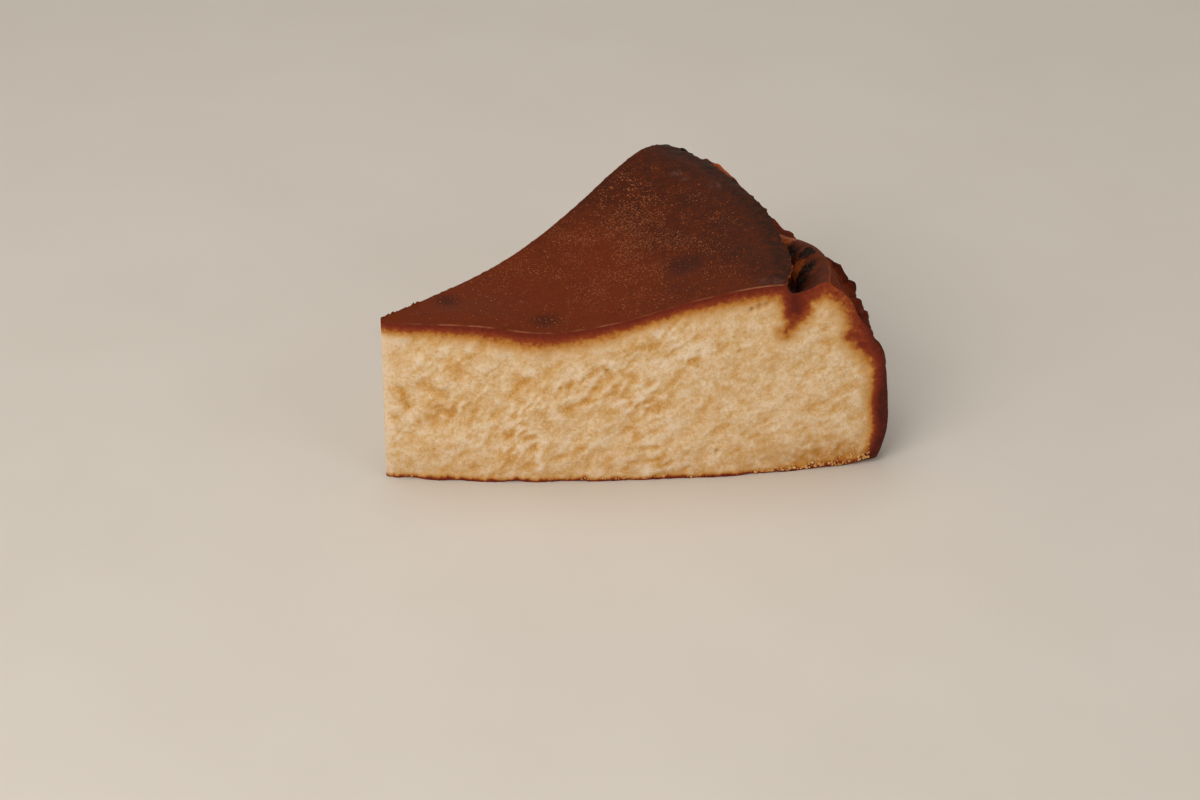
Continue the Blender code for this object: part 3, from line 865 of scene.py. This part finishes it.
def tip_sheet(surface, near, far, first_top_row):
    """The narrow rounded face at the tip, made paler by painted light."""
    shares = np.linspace(0, 1, TIP_SPANS + 1)[1:-1][None, :]
    heights = np.concatenate(surface.points)[near[0], 2][:-1, None]
    crust = np.concatenate(surface.readings["crust"])[near[0]][:-1, None]
    waver = 0.12 * field(heights / 3.0, 5.5) + 0.06 * field(heights / 0.9, 2.5)
    radius = TIP_RADIUS - TIP_ROUND * np.sin(math.pi * shares) + waver * np.sin(math.pi * shares)
    # Painted light: the tip's face is made paler.
    inner = surface.add(place(radius, shares, heights), crust=crust + 0 * shares, hollow=-0.6)
    rows = np.concatenate((near[0][:-1, None], inner, far[0][:-1, None]), 1)
    surface.grid(rows, CRUMB)
    surface.stitch(rows[-1], first_top_row, CRUMB)
    return rows


def base_sheet(surface, near, far, wall_row, tip_row):
    """The resting face: flat inside, rising to the ragged border."""
    last = len(near) - 1
    foot = wall_point(0.5, 0.0)[0]
    rows = [tip_row]
    for column in range(BASE_STEP, last + 1 - BASE_STEP, BASE_STEP):
        radius = TIP_RADIUS + (foot - TIP_RADIUS) * column / last
        length = math.radians(WEDGE_ANGLE) * radius
        spans = max(2, round(length / BASE_CELL))
        shares = np.linspace(0, 1, spans + 1)[1:-1]
        edge = np.minimum(shares, 1 - shares) * length
        height = foot_lift(radius, shares) * smooth(BASE_MARGIN, 0, edge)
        inner = surface.add(place(radius, shares, height))
        rows.append(np.r_[near[column, 0], inner, far[column, 0]])
    rows.append(wall_row)
    previous = 0
    for index, (first, second) in enumerate(zip(rows, rows[1:])):
        surface.stitch(first, second, BASE)
        reached = last if index == len(rows) - 2 else BASE_STEP * (index + 1)
        for chain in (near[:, 0], far[:, 0]):
            fan = chain[previous : reached + 1]
            for corner in range(1, len(fan) - 1):
                surface.faces.append((fan[0], fan[corner], fan[corner + 1]))
                surface.slots.append(BASE)
        previous = reached


def round_border(points, border, inner_a, inner_b):
    """Eases a sharp border between two sheets by pulling it towards their next rows."""
    middle = (points[inner_a] + points[inner_b]) / 2
    points[border] = points[border] * (1 - EDGE_ROUND) + middle * EDGE_ROUND


def slice_surface():
    """The whole closed surface of the slice, in its own frame."""
    surface = Surface()
    turn = math.radians(WEDGE_ANGLE)
    far_normal = (-math.sin(turn), math.cos(turn), 0)
    near = cut_sheet(surface, 0.0, (0, -1, 0), NEAR_SEED, NEAR_CREVICES, NEAR_PITS, NEAR_STAINS)
    far = cut_sheet(surface, 1.0, far_normal, FAR_SEED, FAR_CREVICES, FAR_PITS, FAR_STAINS)
    surface.grid(near, CRUMB)
    surface.grid(far, CRUMB)
    wall = wall_sheet(surface, near, far)
    top = top_rows(surface, near, far, wall[-1])
    tip = tip_sheet(surface, near, far, top[0])
    base_sheet(surface, near, far, wall[0], tip[0])
    points = np.concatenate(surface.points)
    for side, column in ((near, 1), (far, -2)):
        border = side[2:-1, -1]
        top_next = np.array([row[column] for row in top[2:-1]])
        round_border(points, border, side[2:-1, -2], top_next)
        round_border(points, side[-1][2:-1], side[-2][2:-1], wall[2:-1, column])
    return surface, points


def ease_crest(mesh, strength):
    """Rounds the ridge of the shoulder, at the points where the strength is above a half."""
    bm = bmesh.new()
    bm.from_mesh(mesh)
    bm.verts.ensure_lookup_table()
    chosen = [bm.verts[index] for index in np.nonzero(strength > 0.5)[0].tolist()]
    for _ in range(CREST_PASSES):
        bmesh.ops.smooth_vert(bm, verts=chosen, factor=0.5, use_axis_x=True, use_axis_y=True, use_axis_z=True)
    bm.to_mesh(mesh)
    bm.free()


def make_mesh(name, points, faces, slots):
    """A smooth-shaded mesh from its points, its faces and the material slot of each face."""
    mesh = bpy.data.meshes.new(name)
    mesh.from_pydata(points.tolist(), [], faces)
    mesh.polygons.foreach_set("material_index", slots)
    mesh.validate()
    mesh.update()
    mesh.shade_smooth()
    return mesh


def link(name, mesh):
    """An object for the mesh, in the scene."""
    piece = bpy.data.objects.new(name, mesh)
    bpy.context.scene.collection.objects.link(piece)
    return piece


def face_outward(mesh):
    """Turns every face so that its normal points out of the closed mesh."""
    bm = bmesh.new()
    bm.from_mesh(mesh)
    bmesh.ops.recalc_face_normals(bm, faces=bm.faces[:])
    bm.to_mesh(mesh)
    bm.free()


class Nodes:
    """Short calls for building one material's node tree."""

    def __init__(self, name):
        self.material = bpy.data.materials.new(name)
        self.material.use_nodes = True
        self.tree = self.material.node_tree
        self.shader = self.tree.nodes["Principled BSDF"]
        scaled = self.node("VectorMath", {"Scale": 1 / MM}, operation="SCALE")
        self.feed(scaled.inputs[0], self.node("TexCoord", {}).outputs["Object"])
        self.place = scaled.outputs[0]

    def feed(self, socket, value):
        """Sets a socket to a number or colour, or links it to another node's output."""
        if isinstance(value, bpy.types.NodeSocket):
            self.tree.links.new(value, socket)
        elif isinstance(value, tuple) and len(value) == 3 and socket.type == "RGBA":
            socket.default_value = (*value, 1)
        else:
            socket.default_value = value

    def node(self, kind, inputs, **settings):
        """A new node with its settings, and with its inputs fed by name."""
        node = self.tree.nodes.new("ShaderNode" + kind)
        for name, value in settings.items():
            setattr(node, name, value)
        for name, value in inputs.items():
            self.feed(node.inputs[name], value)
        return node

    def noise(self, size, detail=3.0, rough=0.55, stretch=(1, 1, 1)):
        """Noise between 0 and 1 with features about size millimetres across."""
        mapping = self.node("Mapping", {"Scale": [s / size for s in stretch], "Vector": self.place})
        inputs = {"Scale": 1.0, "Detail": detail, "Roughness": rough, "Vector": mapping.outputs[0]}
        return self.node("TexNoise", inputs).outputs["Fac"]

    def reading(self, name):
        """A value stored at the mesh's points."""
        return self.node("Attribute", {}, attribute_name=name).outputs["Fac"]

    def math(self, operation, first, second=0.0, third=0.0):
        """One step of arithmetic."""
        node = self.node("Math", {}, operation=operation)
        for socket, value in zip(node.inputs, (first, second, third)):
            self.feed(socket, value)
        return node.outputs[0]

    def between(self, value, low, high):
        """value brought to 0 at low and 1 at high."""
        ends = (low, high, 0.0, 1.0) if low < high else (high, low, 1.0, 0.0)
        inputs = dict(zip(("From Min", "From Max", "To Min", "To Max"), ends))
        node = self.node("MapRange", {"Value": value, **inputs}, interpolation_type="SMOOTHSTEP")
        return node.outputs["Result"]

    def mix(self, factor, first, second):
        """A mix of two colours."""
        node = self.node("Mix", {"Factor": factor}, data_type="RGBA")
        colours = [socket for socket in node.inputs if socket.type == "RGBA"]
        self.feed(colours[0], first)
        self.feed(colours[1], second)
        return next(socket for socket in node.outputs if socket.type == "RGBA")

    def tint(self, colour, shade, strength, cover):
        """A colour with a shade laid over it, at this strength where the cover is 1."""
        return self.mix(self.math("MULTIPLY", cover, strength), colour, shade)

    def stir(self, value, wander, reach):
        """A value moved up and down by noise, by half its reach each way."""
        return self.math("MULTIPLY_ADD", self.math("SUBTRACT", wander, 0.5), reach, value)

    def ramp(self, value, stops):
        """A colour ramp through (value, colour) stops."""
        first, last = stops[0][0], stops[-1][0]
        node = self.node("ValToRGB", {})
        elements = node.color_ramp.elements
        while len(elements) < len(stops):
            elements.new(0.5)
        for element, (at, colour) in zip(elements, stops):
            element.position = (at - first) / (last - first)
            element.color = (*colour, 1)
        if (first, last) != (0, 1):
            value = self.math("DIVIDE", self.math("SUBTRACT", value, first), last - first)
        self.feed(node.inputs["Fac"], value)
        return node.outputs["Color"]

    def bump(self, height, distance, strength=1.0, under=None):
        """A normal from a height between 0 and 1, raised by distance millimetres."""
        inputs = {"Distance": distance * MM, "Strength": strength, "Height": height}
        if under is not None:
            inputs["Normal"] = under
        return self.node("Bump", inputs).outputs["Normal"]

    def finish(self, colour, roughness, normal, **constants):
        """Feeds the shader and returns the material."""
        self.feed(self.shader.inputs["Base Color"], colour)
        self.feed(self.shader.inputs["Roughness"], roughness)
        self.feed(self.shader.inputs["Normal"], normal)
        for name, value in constants.items():
            self.shader.inputs[name.replace("_", " ")].default_value = value
        return self.material


def srgb(red, green, blue):
    """A linear colour from the 0 to 255 values that a screen shows."""
    return tuple(
        (c / 255 / 12.92) if c / 255 <= 0.04045 else ((c / 255 + 0.055) / 1.055) ** 2.4
        for c in (red, green, blue)
    )


CREAM_PALE = srgb(246, 224, 196)
CREAM_DEEP = srgb(208, 152, 78)
CREAM_YELLOW = srgb(190, 130, 46)
# The torn crumb from its ridges down to its hollows, as (share of the way down, colour), darker and yellower
# down in the hollows: partly the crumb's own tone, partly painted shade.
CRUMB_COLOURS = (
    (0.0, srgb(253, 238, 220)),
    (0.3, srgb(244, 219, 186)),
    (0.5, srgb(231, 195, 145)),
    (0.72, srgb(220, 172, 104)),
    (1.0, srgb(204, 144, 60)),
)
SKIN_WARM = srgb(104, 38, 5)
SKIN_DARK = srgb(46, 22, 11)
SKIN_PALE_MOTTLE = srgb(118, 48, 12)
SKIN_DARK_MOTTLE = srgb(64, 22, 8)
SKIN_SAND = srgb(138, 66, 30)
SKIN_DIMPLE = srgb(40, 20, 17)
SKIN_PAINTED_SHEEN = srgb(112, 84, 80)
SKIN_PAINTED_HIGHLIGHT = srgb(176, 112, 78)
SHOULDER_BROWNS = (srgb(62, 24, 9), srgb(92, 36, 12))
CRACK_CHAR_AND_SHADE = srgb(40, 17, 8)
CRACK_PATCH = srgb(120, 52, 20)
TORN_ORANGE = srgb(180, 88, 36)
BLISTER_BLACK = srgb(32, 16, 9)
BLISTER_GLEAM = srgb(112, 88, 76)
WALL_BROWNS = (srgb(82, 24, 7), srgb(108, 37, 11))
WALL_STREAK = srgb(134, 58, 20)
WALL_CHAR_AND_CREASE_SHADE = srgb(54, 18, 7)
WALL_PLEAT = srgb(58, 22, 9)
WALL_SHOULDER = srgb(110, 46, 18)
BASE_BROWNS = (srgb(128, 62, 26), srgb(182, 116, 56))
BASE_DARK = srgb(104, 44, 20)
BEAD_SUGAR = (srgb(112, 50, 20), srgb(176, 104, 62))
CRUMB_GOLD = (srgb(202, 146, 74), srgb(230, 188, 122))
FLOOR_PALE = (srgb(214, 208, 200), srgb(222, 217, 210))
# The browned layer from its outermost colour inwards, as (crust reading, colour).
CRUST_COLOURS = (
    (-1.0, srgb(78, 22, 6)),
    (0.0, srgb(108, 32, 8)),
    (0.9, srgb(124, 40, 14)),
    (1.8, srgb(144, 58, 22)),
    (2.3, srgb(160, 78, 30)),
    (2.7, srgb(182, 110, 42)),
    (3.3, srgb(198, 134, 56)),
    (4.5, srgb(210, 154, 80)),
    (7.5, srgb(224, 180, 122)),
)


def crumb_material():
    """Pale torn crumb, darker and yellower in its crevices, partly its own tone and partly painted shade,
    browning towards the baked surface.
    """
    n = Nodes("baked_crumb")
    blotch = n.noise(2.6, 4, 0.6)
    fine = n.noise(0.75, 4, 0.65)
    speck = n.noise(0.3, 2, 0.6)
    depth = n.stir(n.stir(n.reading("hollow"), blotch, 1.6), fine, 2.5)
    colour = n.ramp(n.math("MULTIPLY_ADD", depth, 0.28, 0.46), CRUMB_COLOURS)
    colour = n.tint(colour, CREAM_PALE, 0.5, n.between(speck, 0.55, 0.68))
    colour = n.tint(colour, CREAM_DEEP, 0.45, n.between(speck, 0.43, 0.32))
    yellow = n.math("MULTIPLY", n.reading("roast"), n.between(blotch, 0.2, 0.6))
    colour = n.tint(colour, CREAM_YELLOW, 0.9, yellow)
    crust = n.reading("crust")
    wander = n.noise(1.5, 4, 0.6)
    inwards = n.math("MULTIPLY_ADD", n.math("SUBTRACT", wander, 0.5), n.between(crust, 0.2, 3.0), crust)
    uneven = n.stir(n.stir(inwards, wander, 1.3), fine, 1.6)
    colour = n.mix(n.between(uneven, 7.2, 2.7), colour, n.ramp(uneven, CRUST_COLOURS))
    normal = n.bump(speck, 0.08, 1.0, n.bump(n.noise(0.7, 4, 0.7), 0.2, 1.0))
    roughness = n.math("MULTIPLY_ADD", n.between(fine, 0.3, 0.7), -0.12, 0.62)
    n.shader.inputs["Subsurface Weight"].default_value = 0.3
    n.shader.inputs["Subsurface Radius"].default_value = (1.0, 0.6, 0.3)
    n.shader.inputs["Subsurface Scale"].default_value = 0.5 * MM
    return n.finish(colour, roughness, normal, Specular_IOR_Level=0.2)


def skin_material():
    """Smooth dark brown skin with a soft sheen, blacker towards the rim, with painted sheen spots and a
    painted highlight line along its near edge.
    """
    n = Nodes("browned_skin")
    mottle = n.noise(1.6, 4, 0.6)
    sand = n.noise(0.45, 2, 0.6)
    dark = n.stir(n.reading("roast"), n.noise(9.0, 3), 0.5)
    colour = n.mix(n.between(dark, -0.1, 1.6), SKIN_WARM, SKIN_DARK)
    colour = n.tint(colour, SKIN_PALE_MOTTLE, 0.35, n.between(mottle, 0.4, 0.75))
    colour = n.tint(colour, SKIN_DARK_MOTTLE, 0.3, n.between(mottle, 0.5, 0.25))
    colour = n.tint(colour, SKIN_SAND, 0.4, n.between(sand, 0.56, 0.74))
    colour = n.tint(colour, SKIN_DIMPLE, 0.6, n.between(n.reading("char"), 0.0, 1.1))
    # Painted sheen: greyish glossy spots laid into the skin's colour.
    painted_sheen = n.math("MULTIPLY", n.reading("hollow"), n.between(sand, 0.3, 0.65))
    colour = n.tint(colour, SKIN_PAINTED_SHEEN, 0.6, painted_sheen)
    # Painted highlight: a pale line along the skin's near edge.
    colour = n.tint(colour, SKIN_PAINTED_HIGHLIGHT, 0.75, n.reading("torn"))
    normal = n.bump(sand, 0.03, 1.0, n.bump(n.noise(0.7, 3, 0.6), 0.06, 1.0))
    roughness = n.math("MULTIPLY_ADD", n.between(mottle, 0.3, 0.7), 0.12, 0.4)
    return n.finish(colour, roughness, normal, Specular_IOR_Level=0.08)


def shoulder_material():
    """Blistered shoulder: black bubbles by the crack, orange where it tore, brown over the crest, and the
    crack darkened by painted shade over partly burnt crust.
    """
    n = Nodes("blistered_shoulder")
    patch = n.noise(2.4, 4, 0.6)
    fine = n.noise(0.7, 3, 0.6)
    colour = n.mix(n.between(patch, 0.3, 0.7), *SHOULDER_BROWNS)
    # Painted shade over partly burnt crust, in the crack.
    colour = n.tint(colour, CRACK_CHAR_AND_SHADE, 0.85, n.reading("torn"))
    ledges = n.math("MULTIPLY", n.reading("torn"), n.between(patch, 0.55, 0.7))
    colour = n.tint(colour, CRACK_PATCH, 0.3, ledges)
    orange = n.math("MULTIPLY", n.reading("roast"), n.between(fine, 0.2, 0.55))
    colour = n.tint(colour, TORN_ORANGE, 0.85, orange)
    black = n.between(n.math("MULTIPLY_ADD", fine, 0.3, n.reading("char")), 0.35, 0.95)
    colour = n.mix(black, colour, BLISTER_BLACK)
    sand = n.noise(0.4, 2, 0.6)
    gleam = n.math("MULTIPLY", n.between(n.reading("char"), 0.1, 0.6), n.between(sand, 0.58, 0.7))
    colour = n.tint(colour, BLISTER_GLEAM, 0.5, gleam)
    return n.finish(colour, 0.5, n.bump(n.noise(0.45, 4, 0.65), 0.1, 1.0), Specular_IOR_Level=0.1)


def wall_material():
    """Dark reddish brown wall, charred on the pleats and paler between them, with painted shade in its
    creases and fold gaps.
    """
    n = Nodes("browned_wall")
    streak = n.noise(1.2, 3, 0.6, (1, 1, 0.3))
    colour = n.mix(n.between(n.noise(3.5, 4, 0.6), 0.3, 0.7), *WALL_BROWNS)
    colour = n.tint(colour, WALL_STREAK, 0.5, n.between(streak, 0.5, 0.72))
    # Burnt patches, with painted shade in the creases and fold gaps.
    colour = n.tint(colour, WALL_CHAR_AND_CREASE_SHADE, 0.7, n.between(n.reading("char"), 0.4, 1.0))
    colour = n.tint(colour, WALL_PLEAT, 0.6, n.between(n.reading("torn"), 0.5, 1.8))
    colour = n.tint(colour, WALL_SHOULDER, 0.8, n.reading("roast"))
    grain = n.bump(n.noise(0.6, 4, 0.65), 0.12, 1.0)
    normal = n.bump(n.noise(2.2, 2, 0.5, (1, 1, 0.25)), 0.2, 1.0, grain)
    return n.finish(colour, 0.7, normal, Specular_IOR_Level=0.04)


def base_material():
    """Thinly browned underside."""
    n = Nodes("browned_base")
    colour = n.mix(n.between(n.noise(4.0, 4, 0.6), 0.3, 0.7), *BASE_BROWNS)
    colour = n.mix(n.between(n.noise(0.9, 3), 0.55, 0.7), colour, BASE_DARK)
    return n.finish(colour, 0.6, n.bump(n.noise(0.8, 4, 0.65), 0.15, 1.0), Specular_IOR_Level=0.25)


def bead_material():
    """Tiny sugary beads on the skin."""
    n = Nodes("sugar_bead")
    colour = n.mix(n.noise(0.8, 2), *BEAD_SUGAR)
    return n.finish(colour, 0.3, n.bump(n.noise(0.2), 0.02, 1.0), Specular_IOR_Level=0.3)


def loose_crumb_material():
    """Golden crumbs."""
    n = Nodes("foot_crumb")
    colour = n.mix(n.between(n.noise(1.1, 3), 0.35, 0.65), *CRUMB_GOLD)
    return n.finish(colour, 0.6, n.bump(n.noise(0.3), 0.05, 1.0), Specular_IOR_Level=0.2)


def grains(centres, radii, flatness, seed):
    """Points and faces of many small lumps, one at each centre."""
    bm = bmesh.new()
    bmesh.ops.create_icosphere(bm, subdivisions=1, radius=1.0)
    ball = np.array([vertex.co for vertex in bm.verts])
    corners = np.array([[vertex.index for vertex in face.verts] for face in bm.faces])
    bm.free()
    draw = np.random.default_rng(seed)
    swell = 1 + 0.25 * draw.uniform(-1, 1, (len(centres), len(ball), 1))
    shape = ball[None] * swell * np.array((1, 1, flatness))
    points = centres[:, None, :] + shape * radii[:, None, None]
    faces = corners[None] + (np.arange(len(centres)) * len(ball))[:, None, None]
    return points.reshape(-1, 3), faces.reshape(-1, 3).tolist()


def around(x, y, area):
    """1 in the middle of an area, falling off softly past its half length and half width."""
    middle_x, middle_y, half_length, half_width = area
    return np.exp(-(((x - middle_x) / half_length) ** 2) - ((y - middle_y) / half_width) ** 2)


def skin_beads():
    """Points and faces of the skin's beads: thick over its middle, sparse by the tip, none by the rim."""
    draw = np.random.default_rng(BEAD_SEED)
    radius = WALL_RADIUS * np.sqrt(draw.uniform(0.0, 1.0, BEAD_TRIES))
    share = draw.uniform(0.02, 0.98, BEAD_TRIES)
    inside = (radius > 6) & (radius < skin_edge(share) - 2)
    radius, share = radius[inside], share[inside]
    x, y = place(radius, share, 0.0)[:, :2].T
    patch = 0.5 + layered(BEAD_PATCHES, x, y)
    thick = (0.06 + 0.94 * around(x, y, BEADS_THICK)) * smooth(76, 66, radius)
    keep = draw.uniform(0, 1, len(radius)) < np.clip(patch, 0.08, 1) * thick
    radius, share, x, y = radius[keep], share[keep], x[keep], y[keep]
    point = place(radius, share, skin_height(radius, share))
    point[:, 2] += skin_relief(point, radius, skin_edge(share))[0]
    size = draw.uniform(*BEAD_SIZES, len(point)) * (1 + 0.7 * (draw.uniform(0, 1, len(point)) > 0.94))
    size *= 1 + 0.6 * around(x, y, BEADS_COARSE)
    return grains(point, size, 0.7, BEAD_SEED)


def foot_crumbs():
    """Points and faces of the crumbs at the foot of both cuts, thickest at the near cut's outer corner."""
    draw = np.random.default_rng(CRUMB_SEED)
    near = draw.uniform(0, 1, CRUMB_COUNT) < CRUMBS_NEAR
    corner = draw.uniform(0, 1, CRUMB_COUNT) < CRUMBS_AT_CORNER
    by_corner = CORNER_FROM - CORNER_SPREAD * draw.uniform(0, 1, CRUMB_COUNT) ** 1.5
    along = np.where(corner, by_corner, draw.uniform(4, 90, CRUMB_COUNT))
    share = np.where(near, 0.0, 1.0)
    rise = draw.uniform(0, 1, CRUMB_COUNT) ** 1.6
    height = foot_lift(along, share) + 0.3 + rise * (0.7 + 2.4 * corner * smooth(72, 88, along))
    turn = math.radians(WEDGE_ANGLE)
    normal = np.where(near[:, None], (0, -1, 0), (-math.sin(turn), math.cos(turn), 0))
    size = draw.uniform(*CRUMB_SIZES, CRUMB_COUNT) * (1 + 0.5 * (draw.uniform(0, 1, CRUMB_COUNT) > 0.85))
    centre = place(along, share, height) - CRUMB_SUNK * normal
    return grains(centre, size, 0.9, CRUMB_SEED)


def in_frame(points, low, high):
    """Points moved from the slice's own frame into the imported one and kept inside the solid's box."""
    points = points.copy()
    points[:, :2] += TIP_AT
    return np.clip(points * MM, np.array(low), np.array(high))


def make_grains(name, lumps, material, low, high):
    """Many small lumps as one piece."""
    points, faces = lumps
    mesh = make_mesh(name, in_frame(points, low, high), faces, [0] * len(faces))
    mesh.materials.append(material)
    return link(name, mesh)


def make_slice(low, high):
    """The slice's own piece."""
    surface, points = slice_surface()
    mesh = make_mesh("baked_slice", in_frame(points, low, high), surface.faces, surface.slots)
    ease_crest(mesh, np.concatenate(surface.readings["crest"]))
    face_outward(mesh)
    for name, values in surface.readings.items():
        stored = mesh.attributes.new(name, "FLOAT", "POINT")
        stored.data.foreach_set("value", np.concatenate(values))
    for make_material in (crumb_material, skin_material, shoulder_material, wall_material, base_material):
        mesh.materials.append(make_material())
    return link("baked_slice", mesh)


# The camera, as the picture was taken: where it looks, and from where.
LOOK_AT = Vector((-5.50, -6.29, 0.0)) * MM
CAMERA_AZIMUTH = -3.5
CAMERA_ELEVATION = 30.5
CAMERA_DISTANCE = 664.5 * MM
CAMERA_LENS = 102.0
CAMERA_SENSOR = 36.0

# Soft square lamps, as (name, location, size, power, colour), and the point that they shine on.
# Lengths are in metres and power is in watts, here and for the floor.
LAMPS = (
    ("key", (-0.30, -0.42, 0.42), 0.40, 1.85, (1.0, 0.94, 0.86)),
    ("fill", (0.5, -0.5, 0.35), 0.5, 0.7, (1.0, 0.95, 0.90)),
    ("top", (-0.05, 0.1, 0.7), 0.5, 1.5, (1.0, 0.95, 0.90)),
)
LAMPS_AIM = Vector((0, 0, 0.02))
SURROUND_COLOUR = (1.0, 0.94, 0.86, 1)
SURROUND_STRENGTH = 0.3
FLOOR_REACH = 3.0


def aim(thing, target):
    """Turns a camera or lamp towards a point."""
    thing.rotation_euler = (target - thing.location).to_track_quat("-Z", "Y").to_euler()


def make_camera():
    """The camera at the picture's viewing angle."""
    data = bpy.data.cameras.new("camera")
    data.lens = CAMERA_LENS
    data.sensor_width = CAMERA_SENSOR
    camera = bpy.data.objects.new("camera", data)
    bpy.context.scene.collection.objects.link(camera)
    azimuth, elevation = math.radians(CAMERA_AZIMUTH), math.radians(CAMERA_ELEVATION)
    level = math.cos(elevation)
    back = Vector((math.sin(azimuth) * level, -math.cos(azimuth) * level, math.sin(elevation)))
    camera.location = LOOK_AT + back * CAMERA_DISTANCE
    aim(camera, LOOK_AT)
    bpy.context.scene.camera = camera


def make_lamps():
    """Soft lamps round the slice."""
    for name, location, size, power, colour in LAMPS:
        data = bpy.data.lights.new(name, "AREA")
        data.shape = "SQUARE"
        data.size = size
        data.energy = power
        data.color = colour
        lamp = bpy.data.objects.new(name, data)
        bpy.context.scene.collection.objects.link(lamp)
        lamp.location = location
        aim(lamp, LAMPS_AIM)


def make_surround():
    """An even pale surround."""
    world = bpy.data.worlds.new("surround")
    bpy.context.scene.world = world
    world.use_nodes = True
    background = world.node_tree.nodes["Background"]
    background.inputs["Color"].default_value = SURROUND_COLOUR
    background.inputs["Strength"].default_value = SURROUND_STRENGTH
    bpy.context.scene.view_settings.view_transform = "Standard"


def make_floor():
    """A plain pale floor."""
    mesh = bpy.data.meshes.new("floor")
    corners = [(x * FLOOR_REACH, y * FLOOR_REACH, 0) for x, y in ((-1, -1), (1, -1), (1, 1), (-1, 1))]
    mesh.from_pydata(corners, [], [(0, 1, 2, 3)])
    floor = link("floor", mesh)
    n = Nodes("pale_floor")
    colour = n.mix(n.noise(40.0, 3), *FLOOR_PALE)
    mesh.materials.append(n.finish(colour, 0.75, n.bump(n.noise(3.0), 0.02, 0.3), Specular_IOR_Level=0.2))


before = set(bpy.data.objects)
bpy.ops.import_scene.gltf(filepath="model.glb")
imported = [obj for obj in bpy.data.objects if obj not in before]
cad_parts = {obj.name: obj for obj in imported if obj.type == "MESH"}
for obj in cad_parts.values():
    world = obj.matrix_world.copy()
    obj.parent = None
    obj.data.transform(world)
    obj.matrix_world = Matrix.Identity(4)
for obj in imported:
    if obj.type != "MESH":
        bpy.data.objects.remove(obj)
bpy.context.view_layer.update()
make_camera()
make_lamps()
make_surround()
make_floor()
slice_piece = make_slice(*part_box(NODE))
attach(slice_piece, "root")
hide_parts(NODE)
bead_piece = make_grains("skin_beads", skin_beads(), bead_material(), *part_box(NODE))
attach(bead_piece, "root")
crumb_piece = make_grains("foot_crumbs", foot_crumbs(), loose_crumb_material(), *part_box(NODE))
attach(crumb_piece, "root")
